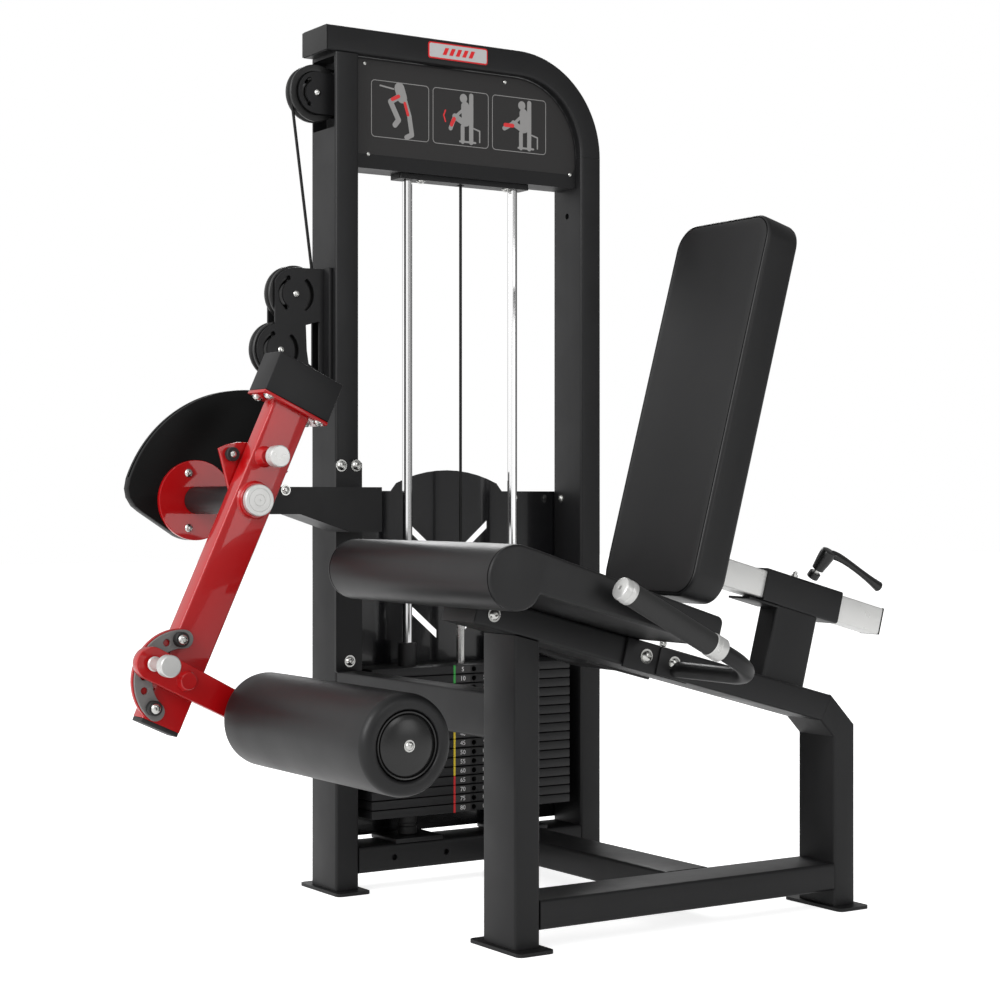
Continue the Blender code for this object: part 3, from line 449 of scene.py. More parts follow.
def weight_plate(row):
    """One plate, counted from the top, its rod holes and its pin hole drilled."""
    top = LOW + (17 - row) * PITCH
    made = block((-0.23125, -0.05, top - PITCH + 0.0007), (0.23125, 0.05, top - 0.0007), stack, 0.0022)
    for x, radius in ((-ROD_SIDE, 0.0105), (0.0, 0.0092), (ROD_SIDE, 0.0105)):
        drill(made, radius, 0.03, stack @ Matrix.Translation((x, 0, top - PITCH / 2)))
    return drill(made, 0.0052, 0.05, stack @ Matrix.Translation((0, -0.045, top - PITCH / 2)) @ UPRIGHT, 20)


top_z = LOW + 16 * PITCH
sleeves = [turned([(0.0125, top_z - 0.0007), (0.0185, top_z - 0.0007), (0.0185, top_z + 0.0425),
                   (0.0172, top_z + 0.0444), (0.0125, top_z + 0.0444), (0.0125, top_z - 0.0007)],
                  stack @ Matrix.Translation((side * ROD_SIDE, 0, 0)), 40) for side in (-1, 1)]
settle(merged([weight_plate(1), *sleeves]), "stack_head_plate", "weight_stack", plate_black,
       ["head_plate"])
settle(merged([weight_plate(row) for row in range(2, 6)]), "stack_lifted_plates", "weight_stack",
       plate_black, ["lifted_plates"])
settle(merged([weight_plate(row) for row in range(6, 17)]), "stack_resting_plates", "frame",
       plate_black, ["resting_plates"])

sticker_green = finish("green printed label", "#2f9a3f", 0.5)
sticker_yellow = finish("yellow printed label", "#e2c527", 0.5)
sticker_red = finish("red printed label", "#cf1f22", 0.5)
sticker_grey = finish("charcoal printed label", "#2b2a2a", 0.5)
ink_white = finish("white screen print", "#dcdcdc", 0.5)


def patch(low, high, depth, matrix):
    """A thin printed rectangle, from low to high in x and z, its face at depth."""
    return block((low[0], depth, low[1]), (high[0], depth + 0.0002, high[1]), matrix, 0.0)


def lettering(words, size, place, matrix):
    """Thin printed characters that face -Y, set out about place."""
    text = bpy.data.curves.new("print", "FONT")
    text.body = words
    text.size = size
    text.align_x = text.align_y = "CENTER"
    text.extrude = 0.0001
    text.resolution_u = 2
    return as_mesh(placed("print", text, matrix @ Matrix.Translation(place) @ UPRIGHT))


label_face = -0.0503
for body, rows in (("weight_stack", range(1, 6)), ("frame", range(6, 17))):
    backs, numbers, bands = [], [], {}
    for row in rows:
        z = LOW + (16.5 - row) * PITCH
        backs.append(patch((-0.0445, z - 0.0070), (-0.0085, z + 0.0070), label_face + 0.0001, stack))
        look = sticker_green if row < 7 else sticker_yellow if row < 13 else sticker_red
        bands.setdefault(look, []).append(patch((-0.0475, z - 0.0086), (-0.0430, z + 0.0086), label_face,
                                                stack))
        numbers.append(lettering(str(row * 5), 0.0125, (-0.026, label_face - 0.0001, z), stack))
        numbers.append(lettering(str(row), 0.0105, (0.024, label_face - 0.0001, z), stack))
    settle(merged(backs), f"label_backs_{body}", body, sticker_grey)
    settle(merged(numbers), f"label_numbers_{body}", body, ink_white)
    for look, strips in bands.items():
        settle(merged(strips), f"label_bands_{look.name.split()[0]}_{body}", body, look)

plastic_red = finish("moulded red plastic", "#c01214", 0.32, coat=0.3)
pin_place = (0.0, -0.05, LOW + 10.5 * PITCH)
knob = turned([(0, 0.004), (0.0080, 0.004), (0.0100, 0.006), (0.0090, 0.018), (0.0088, 0.026),
               (0.0118, 0.038), (0.0124, 0.0415), (0.0112, 0.0445), (0.0080, 0.046), (0, 0.046)],
              facing(stack, pin_place), 40)
settle(knob, "selector_pin_knob", "selector_pin", plastic_red, ["selector_pin"])
shank = turned([(0, -0.030), (0.0036, -0.030), (0.0046, -0.028), (0.0046, 0.0045), (0, 0.0045)],
               facing(stack, pin_place), 24)
settle(shank, "selector_pin_shank", "selector_pin", chrome)


# ---------------------------------------------------------------- leg arm
# A red rectangular tube in gloss powder coat, with a welded hub, a top plate for the black steel
# counterweight, and a plastic cap in its lower end. It hangs on the pivot shaft and is set by a pin.

gloss_red = finish("gloss red powder coat", "#a90409", 0.36, coat=0.8, peel_mm=2.6, peel_depth_mm=0.008,
                   shine=0.25)
LEAN = math.radians(24.7)
ANKLE_REACH = 0.336
ARC_RADIUS = 0.0695
SHAFT_BORE = 0.0153
RANGE_PIN = (-0.014, 0, 0.077)
pivot = tower @ Matrix.Translation((-0.2755, 0.0, 0.7465))
arm = pivot @ Matrix.Rotation(LEAN, 4, "Y")
ankle = arm @ Matrix.Translation((0.0, 0.0, -ANKLE_REACH))
lever = ankle @ Matrix.Rotation(math.radians(2.6), 4, "Y")


def outline_plate(outline, near, far, matrix, holes=(), bevel=0.0008):
    """A flat shape of outline in x and z, from near to far in y, its edges broken."""
    curve = bpy.data.curves.new("flat", "CURVE")
    curve.dimensions = "2D"
    curve.fill_mode = "BOTH"
    curve.extrude = (far - near) / 2 - bevel
    curve.bevel_depth = bevel
    curve.bevel_resolution = 1
    curve.offset = -bevel
    for loop in (outline, *holes):
        spline = curve.splines.new("POLY")
        spline.points.add(len(loop) - 1)
        for point, (x, z) in zip(spline.points, loop):
            point.co = (x, z, 0.0, 1.0)
        spline.use_cyclic_u = True
    return as_mesh(placed("flat", curve, matrix @ Matrix.Translation((0, (near + far) / 2, 0)) @ UPRIGHT))


def band(radius, width, start, end, steps=36):
    """A round-ended band along an arc about the origin, its angles counted from level."""
    half = width / 2
    loop = arc((0, 0), radius + half, start, end, steps)
    for angle, first in ((end, end), (start, start + 180)):
        tip = arc((0, 0), radius, angle, angle, 1)[0]
        loop += arc(tip, half, first, first + 180, 12)[1:-1]
        if angle == end:
            loop += arc((0, 0), radius - half, end, start, steps)
    return loop


tube_shell = square_tube([(0, -0.1885, -0.4195), (0, -0.1885, 0.1758)], arm, across=0.0755, deep=0.040,
                         radius=0.004)
top_plate = block((-0.068, -0.222, 0.1757), (0.068, -0.158, 0.182), arm, 0.0008)
hub = turned([(SHAFT_BORE, 0.2084), (0.0340, 0.2084), (0.0318, 0.2105), (0.0310, 0.2120), (0.0310, 0.2175),
              (0.0298, 0.2187), (SHAFT_BORE, 0.2187), (SHAFT_BORE, 0.2084)], facing(arm, (0, 0, 0)), 56)
range_boss = turned([(0.0066, 0.2084), (0.0190, 0.2084), (0.0176, 0.2105), (0.0148, 0.2205), (0.0142, 0.2235),
                     (0.0128, 0.2245), (0.0066, 0.2245), (0.0066, 0.2084)], facing(arm, RANGE_PIN), 48)
level = pivot @ Matrix.Translation((-ANKLE_REACH * math.sin(LEAN), 0, -ANKLE_REACH * math.cos(LEAN)))
backing = outline_plate(band(ARC_RADIUS, 0.036, 86, 227), -0.2084, -0.2004, level)
web = block((-0.062, -0.2082, -0.366), (0.010, -0.2006, -0.314), arm, 0.0008)
settle(merged([tube_shell, top_plate, hub, range_boss, backing, web]), "red_leg_arm", "leg_arm",
       gloss_red, ["leg_arm"])
settle(block((-0.0366, -0.2076, -0.4272), (0.0366, -0.1694, -0.4190), arm, 0.0015), "arm_end_cap", "leg_arm",
       plastic_cap)
weight = block((-0.068, -0.222, 0.1823), (0.068, -0.158, 0.256), arm, 0.0022, 3)
settle(weight, "arm_counterweight", "leg_arm", powder_black, ["counterweight"])
screws("counterweight_bolts", "leg_arm", arm, [(x, y, 0.1757) for x in (-0.053, 0.053)
                                               for y in (-0.213, -0.168)], axis=(0, 0, -1), head=0.0075)


# ---------------------------------------------------------------- pivot shaft and cam
# The turned steel shaft ends in a bright cap with a centre mark. It carries a thick black cam for
# the cable, a bolted red disc and the red range plate, whose rubber bumper meets the arm.

satin_cap = finish("turned aluminium cap", "#cacac8", 0.30, metallic=0.5, uneven=0.04)
shaft = turned([(0, 0.2282), (0.0018, 0.2282), (0.0022, 0.2293), (0.0095, 0.2293), (0.0098, 0.2287),
                (0.0104, 0.2287), (0.0107, 0.2293), (0.0196, 0.2293), (0.0199, 0.2287), (0.0205, 0.2287),
                (0.0208, 0.2294), (0.0262, 0.2295), (0.0275, 0.2283), (0.0275, 0.2192), (0.0268, 0.2188),
                (0.0149, 0.2188), (0.0149, -0.065), (0.0139, -0.066), (0, -0.066)],
               facing(pivot, (0, 0, 0)), 64)
settle(shaft, "pivot_shaft_and_cap", "cam", satin_cap, ["pivot_shaft"])

CAM_CENTRE = (0.110, -0.0438)
DISC_RADIUS = 0.0735
cam_outline = arc(CAM_CENTRE, 0.2495, 71, 160.5, 72)
cam_outline += [(-0.1285, 0.0215), (-0.1255, 0.005), (-0.1155, -0.0108), (-0.102, -0.0212)]
cam_outline += arc((0, 0), DISC_RADIUS, 242, 352, 24) + [(0.186, 0.150)]
bore = arc((0, 0), SHAFT_BORE, 0, 360, 36)[:-1]
cam_sheet = outline_plate(cam_outline, 0.038, 0.062, pivot, [bore], 0.0015)
cable_way = arc(CAM_CENTRE, 0.2512, 72, 160, 72) + arc(CAM_CENTRE, 0.2465, 160, 72, 72)
cut(cam_sheet, outline_plate(cable_way, 0.0468, 0.0532, pivot, (), 0.0005))
cam_black = finish("semi-gloss black enamel", "#0c0c0c", 0.38, peel_mm=2.5, peel_depth_mm=0.04, shine=0.12)
settle(cam_sheet, "cam_plate", "cam", cam_black, ["cam"])

disc = outline_plate(arc((0, 0), DISC_RADIUS, 0, 360, 72)[:-1], 0.0280, 0.0377, pivot, [bore], 0.0010)
settle(disc, "cam_red_disc", "cam", gloss_red, ["cam_disc"])
screws("cam_bolts", "cam", tower, [(-0.2912, 0.0280, 0.7964), (-0.2912, 0.0280, 0.6958)], head=0.0078,
       washer=False)


def pin_hole(place):
    """A round hole for a pin."""
    return arc(place, 0.0064, 0, 360, 24)[:-1]


def pin_holes(radius, angles):
    """Holes for a pin, set out along an arc."""
    return [pin_hole(arc((0, 0), radius, angle, angle, 1)[0]) for angle in angles]


sector = outline_plate(arc((0, 0), 0.102, 30, 117, 40) + arc((0, 0), 0.030, 150, 360, 30), -0.165, -0.157,
                       pivot, [bore, *pin_holes(0.0783, (45.6, 60.6, 75.6))])
settle(sector, "range_setting_plate", "cam", gloss_red, ["range_plate"])
stop = turned([(0.0045, 0.1652), (0.0118, 0.1652), (0.0124, 0.1665), (0.0124, 0.1745), (0.0112, 0.1765),
               (0.0045, 0.1765), (0.0045, 0.1652)], facing(pivot, (-0.024, 0, 0.0806)), 36)
settle(stop, "arm_stop_bumper", "cam", soft_rubber)
screws("arm_stop_screw", "cam", pivot, [(-0.024, -0.1735, 0.0806)], head=0.0070, washer=False)

housing = turned([(SHAFT_BORE, 0.155), (0.0235, 0.155), (0.025, 0.1535), (0.025, -0.0257), (0.0235, -0.0272),
                  (SHAFT_BORE, -0.0272), (SHAFT_BORE, 0.155)], facing(pivot, (0, 0, 0)), 56)
settle(housing, "bearing_housing", "frame", powder_black, ["pivot_housing"])
paint(powder_black, "pivot_bracket")
screws("cam_stop_bolt", "frame", tower, [(-0.154, -0.0903, 0.765)], head=0.0072)


# ---------------------------------------------------------------- pull pins
# Spring pull pins set where the arm and the ankle lever start, and are drawn out here. A turned
# bright knob on a steel plunger slides in its boss, and its nose goes into the plate behind.

range_knob = turned([(0, 0.270), (0.0172, 0.270), (0.0190, 0.2685), (0.0190, 0.2500), (0.0178, 0.2482),
                     (0.0125, 0.2470), (0.0118, 0.2440), (0.0112, 0.2400), (0.0112, 0.2350), (0.0104, 0.2342),
                     (0.0060, 0.2342), (0.0060, 0.1680), (0.0048, 0.1667), (0, 0.1667)],
                    facing(arm, RANGE_PIN), 56)
settle(range_knob, "range_pull_pin", "range_pin", satin_cap, ["range_pin"])
ankle_knob = turned([(0, 0.310), (0.0168, 0.310), (0.0185, 0.3085), (0.0185, 0.2915), (0.0172, 0.2897),
                     (0.0130, 0.2885), (0.0122, 0.2855), (0.0112, 0.2820), (0.0112, 0.2460), (0.0126, 0.2445),
                     (0.0126, 0.2425), (0.0060, 0.2422), (0.0060, 0.2170), (0.0050, 0.2158), (0, 0.2158)],
                    facing(lever, (-ARC_RADIUS, 0, 0)), 56)
settle(ankle_knob, "ankle_pull_pin", "ankle_pin", satin_cap, ["ankle_pin"])


# ---------------------------------------------------------------- ankle arc plate and lever
# A grey steel arc plate with five setting holes is bolted over the arm, with a rubber end stop at
# each end. The red lever turns on the arm and carries the roller's axle.

arc_grey = finish("zinc grey steel plate", "#737271", 0.34, metallic=0.15, uneven=0.05)
level = ankle @ Matrix.Rotation(-LEAN, 4, "Y")
arc_plate = outline_plate(band(ARC_RADIUS, 0.032, 85, 228), -0.2148, -0.2088, level,
                          pin_holes(ARC_RADIUS, (112.7, 132.7, 152.7, 172.7, 192.7)))
settle(arc_plate, "ankle_setting_arc", "leg_arm", arc_grey, ["ankle_arc_plate"])
for name, angle in (("upper", 93), ("lower", 220)):
    x, z = arc((0, 0), ARC_RADIUS, angle, angle, 1)[0]
    buffer = turned([(0.0045, 0.2150), (0.0122, 0.2150), (0.0130, 0.2162), (0.0130, 0.2272), (0.0118, 0.2290),
                     (0.0045, 0.2290), (0.0045, 0.2150)], facing(level, (x, 0, z)), 36)
    settle(buffer, f"ankle_stop_{name}", "leg_arm", soft_rubber)
    screws(f"ankle_stop_screw_{name}", "leg_arm", level, [(x, -0.2288, z)], head=0.0088, washer=False)

AXLE_REACH = 0.1482
lever_outline = arc((-ARC_RADIUS, 0), 0.028, 90, 270, 28) + arc((AXLE_REACH, 0), 0.024, -90, 90, 24)
lever_plate = outline_plate(lever_outline, -0.2348, -0.2151, lever, [pin_hole((-ARC_RADIUS, 0))], 0.0012)
lever_hub = turned([(0, 0.2460), (0.0135, 0.2460), (0.0150, 0.2448), (0.0172, 0.2365), (0.0178, 0.2346),
                    (0, 0.2346)], facing(lever, (0, 0, 0)), 48)
axle = turned([(0, 0.7440), (0.0115, 0.7440), (0.0125, 0.7430), (0.0125, 0.2340), (0, 0.2340)],
              facing(lever, (AXLE_REACH, 0, 0)), 40)
settle(merged([lever_plate, lever_hub, axle]), "red_ankle_lever", "ankle_lever", gloss_red,
       ["ankle_lever"])


# ---------------------------------------------------------------- padded roller
# A thick foam roller in black leatherette turns on the lever's axle. Its near end is closed by a
# pressed black cap, sunk into the foam and held by a screw.

axle_line = lever @ Matrix.Translation((AXLE_REACH, 0, 0))


def leatherette(name, colour, roughness, grain_mm=1.5, depth_mm=0.10):
    """Upholstery vinyl with a fine pebbled grain."""
    made = bpy.data.materials.new(name)
    made.use_nodes = True
    tree = made.node_tree
    shader = tree.nodes["Principled BSDF"]
    shader.inputs["Base Color"].default_value = linear(colour)
    shader.inputs["Specular IOR Level"].default_value = 0.36
    place = node(tree, "ShaderNodeTexCoord", {}).outputs["Object"]
    cells = node(tree, "ShaderNodeTexVoronoi", {"Vector": place, "Scale": 1000 / grain_mm},
                 feature="SMOOTH_F1")
    folds = node(tree, "ShaderNodeTexNoise", {"Vector": place, "Scale": 55.0, "Detail": 3.0})
    height = node(tree, "ShaderNodeMath", {0: folds.outputs["Fac"], 1: 1.2, 2: cells.outputs["Distance"]},
                  operation="MULTIPLY_ADD")
    skin = node(tree, "ShaderNodeBump", {"Height": height.outputs[0], "Distance": depth_mm / 1000,
                                         "Strength": 0.5})
    tree.links.new(skin.outputs["Normal"], shader.inputs["Normal"])
    cloud = node(tree, "ShaderNodeTexNoise", {"Vector": place, "Scale": 7.0, "Detail": 3.0})
    sheen = node(tree, "ShaderNodeMapRange", {"Value": cloud.outputs["Fac"], "From Min": 0.3, "From Max": 0.7,
                                              "To Min": roughness - 0.05, "To Max": roughness + 0.05})
    tree.links.new(sheen.outputs["Result"], shader.inputs["Roughness"])
    return made


vinyl = leatherette("black upholstery vinyl", "#111112", 0.40)
foam = [(0.0131, 0.2602), (0.0600, 0.2602), (0.0690, 0.2612), (0.0745, 0.2640), (0.0785, 0.2690),
        (0.0798, 0.2760)]
foam += [(0.0800, 0.2760 + i * 0.0456) for i in range(1, 11)]
foam += [(0.0797, 0.7340), (0.0782, 0.7395), (0.0750, 0.7440), (0.0705, 0.7468), (0.0655, 0.7480),
         (0.0600, 0.7478), (0.0562, 0.7462), (0.0547, 0.7430), (0.0545, 0.7300), (0.0540, 0.7282),
         (0.0131, 0.7282), (0.0131, 0.2602)]
roller = turned(foam, facing(axle_line, (0, 0, 0)), 96)
settle(roller, "roller_foam", "ankle_roller", vinyl, ["ankle_roller"], angle=50.0)

moulded_black = finish("gloss moulded black plastic", "#121212", 0.26, peel_mm=3.0, peel_depth_mm=0.03)
cap = [(0.0133, 0.7284), (0.0533, 0.7284), (0.0533, 0.7425), (0.0520, 0.7440), (0.0500, 0.7436),
       (0.0492, 0.7400), (0.0484, 0.7392), (0.0474, 0.7400), (0.0466, 0.7425), (0.0440, 0.7440),
       (0.0380, 0.7458), (0.0300, 0.7474), (0.0200, 0.7486), (0.0100, 0.7492), (0, 0.7493), (0, 0.7443),
       (0.0133, 0.7443), (0.0133, 0.7284)]
settle(turned(cap, facing(axle_line, (0, 0, 0)), 80), "roller_end_cap", "ankle_roller",
       moulded_black)
screws("roller_cap_screw", "ankle_roller", axle_line, [(0, -0.7490, 0)], head=0.0070)


# ---------------------------------------------------------------- seat cushion
# One foam block, comma shaped from the side: a thick roll under the knees that thins into the
# sloping seat. It is wrapped in vinyl with a sewn seam round each flat side panel.


def inset(loop, depth):
    """A closed outline moved inwards by depth; the outline runs anticlockwise."""
    moved = []
    for before, here, after in zip(loop[-1:] + loop[:-1], loop, loop[1:] + loop[:1]):
        back, on = (Vector(here) - Vector(before)).normalized(), (Vector(after) - Vector(here)).normalized()
        normal = Vector((-back.y - on.y, back.x + on.x)).normalized()
        moved.append(Vector(here) + normal * depth / max(0.5, normal.dot(Vector((-on.y, on.x)))))
    return moved


def spaced(loop, step):
    """The same closed outline with points every step or so."""
    made = []
    for here, after in zip(loop, loop[1:] + loop[:1]):
        parts = max(1, round((Vector(after) - Vector(here)).length / step))
        made += [tuple(Vector(here).lerp(Vector(after), i / parts)) for i in range(parts)]
    return made


def wrapped(loop, half, seam, matrix, rows, edge, crown):
    """A pad of a side outline, half wide each way, its edges rolled, with a sewn seam near each side."""
    rolls = [(0.0, edge), (0.10, 0.62), (0.30, 0.29), (0.60, 0.08), (1.0, 0.0)]
    side = [(half - t * edge, edge * d if t else edge) for t, d in rolls]
    groove = [(half - edge - 0.0006, 0.0), (half - edge - 0.0014, seam), (half - edge - 0.0024, seam),
              (half - edge - 0.0032, 0.0)]
    flat = half - edge - 0.0100
    across = side + groove + [(flat - 2 * flat * i / rows, 0.0) for i in range(rows + 1)]
    across += [(-y, d) for y, d in reversed(groove)] + [(-y, d) for y, d in reversed(side)]
    bm = bmesh.new()
    rings = []
    for y, depth in across:
        swell = crown * max(0.0, 1 - (y / half) ** 2)
        rings.append([bm.verts.new((x, y, z)) for x, z in inset(loop, depth - swell)])
    bridge(bm, rings)
    for ring in (rings[0], rings[-1]):
        bmesh.ops.triangulate(bm, faces=[bm.faces.new(ring)])
    return from_bmesh(bm, matrix)


side_outline = arc((-0.1469, 0.0150), 0.0515, 92, 326, 48)
side_outline += [(-0.0985, 0.0010), (-0.0900, 0.0008), (0.2590, 0.0008)] + arc((0.2590, 0.0050), 0.0042,
                                                                               -80, 0, 4)
side_outline += arc((0.2512, 0.0372), 0.0120, 8, 82, 8)
side_outline += [(0.2400, 0.0496), (-0.0600, 0.0628), (-0.0950, 0.0648), (-0.1250, 0.0662)]
cushion = wrapped(spaced(side_outline, 0.008), 0.2565, 0.0030, rail, rows=24, edge=0.0050, crown=0.0010)
settle(cushion, "seat_cushion_vinyl", "frame", vinyl, ["seat_cushion"], angle=60.0)


# ---------------------------------------------------------------- backrest
# A tall foam pad on a plywood back, vinyl wrapped, with a sewn seam just inside its front edge. It
# rides on a bright plated slider tube that passes through the sleeve on the post.

pad = rail @ Matrix.Translation((0.3195, 0, 0.4290)) @ Matrix.Rotation(math.radians(0.5), 4, "Y")


def pad_ring(wide, tall, radius):
    """A round-cornered rectangle of 108 points, the same count at any size."""
    points = rounded((-wide, -tall), (wide, tall), radius, 12)
    made = []
    for turn, pieces in enumerate((8, 24, 8, 24)):
        made += points[13 * turn:13 * turn + 13]
        start, end = Vector(made[-1]), Vector(points[(13 * turn + 13) % 52])
        made += [tuple(start.lerp(end, i / pieces)) for i in range(1, pieces)]
    return made


HALF_WIDE, HALF_TALL, HALF_THICK = 0.1298, 0.3448, 0.0372
CROWN, CROWN_ROWS = 0.0030, 12
front = -HALF_THICK + CROWN
back_edge = [(HALF_THICK, 0.0080), (HALF_THICK - 0.0010, 0.0045), (HALF_THICK - 0.0035, 0.0016),
             (HALF_THICK - 0.008, 0.0002), (0.0, 0.0)]
front_edge = [(0.0090, 0.0), (0.0050, 0.0004), (0.0028, 0.0013), (0.0014, 0.0028), (0.0009, 0.0040),
              (0.0036, 0.0046), (0.0038, 0.0056), (0.0008, 0.0064), (0.0, 0.0095)]
rows = back_edge + [(front + x, depth) for x, depth in front_edge]
for i in range(1, CROWN_ROWS + 1):
    share = i / CROWN_ROWS
    rows.append((front - CROWN * math.sin(math.pi / 2 * share), 0.0095 + (HALF_WIDE - 0.0105) * share))
bm = bmesh.new()
rings = []
for x, depth in rows:
    wide, tall = HALF_WIDE - depth, HALF_TALL - depth
    corner_radius = min(max(0.045 - depth, 0.02), wide * 0.9)
    rings.append([bm.verts.new((x, y, z)) for y, z in pad_ring(wide, tall, corner_radius)])
bridge(bm, rings)
bm.faces.new(rings[0])
bm.faces.new(rings[-1])
back_pad = from_bmesh(bm, pad)
settle(back_pad, "backrest_pad_vinyl", "backrest", vinyl, ["backrest_pad"], angle=50.0)

plated = finish("bright plated steel slider", "#dededc", 0.30, metallic=0.35, uneven=0.05)
SLIDER_Z = 0.1615
slider = square_tube([(0.3630, 0, SLIDER_Z), (0.8158, 0, SLIDER_Z)], rail, deep=0.05, radius=0.004)
settle(slider, "backrest_slider", "backrest", plated, ["slider_tube"])
settle(block((0.8160, -0.0252, 0.1363), (0.8196, 0.0252, 0.1867), rail, 0.0007), "slider_end_cap", "backrest",
       plastic_cap)

low_end, high_end = 0.5247, 0.7077
sleeve = square_tube([(low_end, 0, SLIDER_Z), (high_end, 0, SLIDER_Z)], rail, across=0.06, deep=0.06,
                     radius=0.005)
cut(sleeve, block((low_end - 0.01, -0.0253, 0.1362), (high_end + 0.01, 0.0253, 0.1868), rail, 0.0))
settle(sleeve, "backrest_sleeve", "frame", powder_black, ["slider_sleeve"])
settle(block((0.4930, -0.0300, 0.1270), (0.5640, 0.0300, 0.1311), rail, 0.0008), "sleeve_gusset", "frame",
       powder_black)
index_pin = turned([(0, 0.012), (0.0030, 0.012), (0.0042, 0.0105), (0.0042, 0.006), (0.0060, 0.0055),
                    (0.0060, 0), (0, 0)], facing(rail, (0.6004, -0.012, 0.1915), (0, 0, 1)), 28)
settle(index_pin, "sleeve_index_plunger", "frame", satin_steel)


# ---------------------------------------------------------------- clamp lever
# An adjustable clamping handle: a tapered plastic hub on a threaded insert, with a curved arm that
# ends in a rounded grip. It screws through the sleeve's top against the slider.

clamp = rail @ Matrix.Translation((0.6240, -0.028, 0.1918)) @ Matrix.Rotation(math.radians(33), 4, "X")
boss = turned([(0, 0.0690), (0.0105, 0.0690), (0.0132, 0.0675), (0.0142, 0.0640), (0.0146, 0.0555),
               (0.0135, 0.0450), (0.0118, 0.0330), (0.0112, 0.0275), (0, 0.0275)], clamp, 40)
foot = turned([(0, 0.0205), (0.0098, 0.0205), (0.0110, 0.0195), (0.0110, 0.0090), (0.0102, 0.0080),
               (0, 0.0080)], clamp, 40)
bolt_shank = turned([(0, 0.0300), (0.0058, 0.0300), (0.0058, 0.0190), (0, 0.0190)], clamp, 24)
path = [Vector(p) for p in ((0.002, 0, 0.0625), (0.018, -0.004, 0.0655), (0.044, -0.0105, 0.0620),
                            (0.072, -0.0170, 0.0560), (0.100, -0.0235, 0.0495), (0.123, -0.0288, 0.0440))]
sizes = [(0.0115, 0.0085), (0.0098, 0.0078), (0.0088, 0.0064), (0.0086, 0.0062), (0.0094, 0.0070),
         (0.0108, 0.0096)]
bm = bmesh.new()
rings = []
for k, (p, (wide, tall)) in enumerate(zip(path, sizes)):
    along = (path[min(k + 1, 5)] - path[max(k - 1, 0)]).normalized()
    side = along.cross(Vector((0, 0, 1))).normalized()
    up = side.cross(along)
    rings.append([bm.verts.new(p + side * wide * math.cos(a) + up * tall * math.sin(a))
                  for a in [math.tau * i / 20 for i in range(20)]])
bridge(bm, rings)
bm.faces.new(rings[0])
tip = bmesh.ops.extrude_face_region(bm, geom=[bm.faces.new(rings[-1])])
ends = [v for v in tip["geom"] if isinstance(v, bmesh.types.BMVert)]
bmesh.ops.translate(bm, verts=ends, vec=(path[-1] - path[-2]).normalized() * 0.004)
tip_centre = path[-1] + Vector((0.0036, -0.001, -0.0016))
bmesh.ops.scale(bm, verts=ends, vec=(0.6, 0.6, 0.6), space=Matrix.Translation(-tip_centre))
handle = from_bmesh(bm, clamp)
smooth = handle.modifiers.new("smooth", "SUBSURF")
smooth.levels = smooth.render_levels = 2
settle(merged([boss, foot]), "clamp_hub", "clamp_lever", moulded_black, ["clamp_lever"])
settle(handle, "clamp_handle", "clamp_lever", moulded_black, angle=60.0)
settle(bolt_shank, "clamp_stud", "clamp_lever", zinc)


# ---------------------------------------------------------------- handles
# A bent round tube each side of the seat, welded to a plate that is bolted to the rail. A soft
# rubber grip slides over it between a turned end cap and a collar.


def swept(points, radius, matrix, sides=28):
    """Round bar along a row of points."""
    curve = bpy.data.curves.new("bar", "CURVE")
    curve.dimensions = "3D"
    curve.bevel_depth = radius
    curve.bevel_resolution = sides // 4 - 1
    curve.use_fill_caps = True
    spline = curve.splines.new("POLY")
    spline.points.add(len(points) - 1)
    for point, place in zip(spline.points, points):
        point.co = (*place, 1.0)
    return as_mesh(placed("bar", curve, matrix))


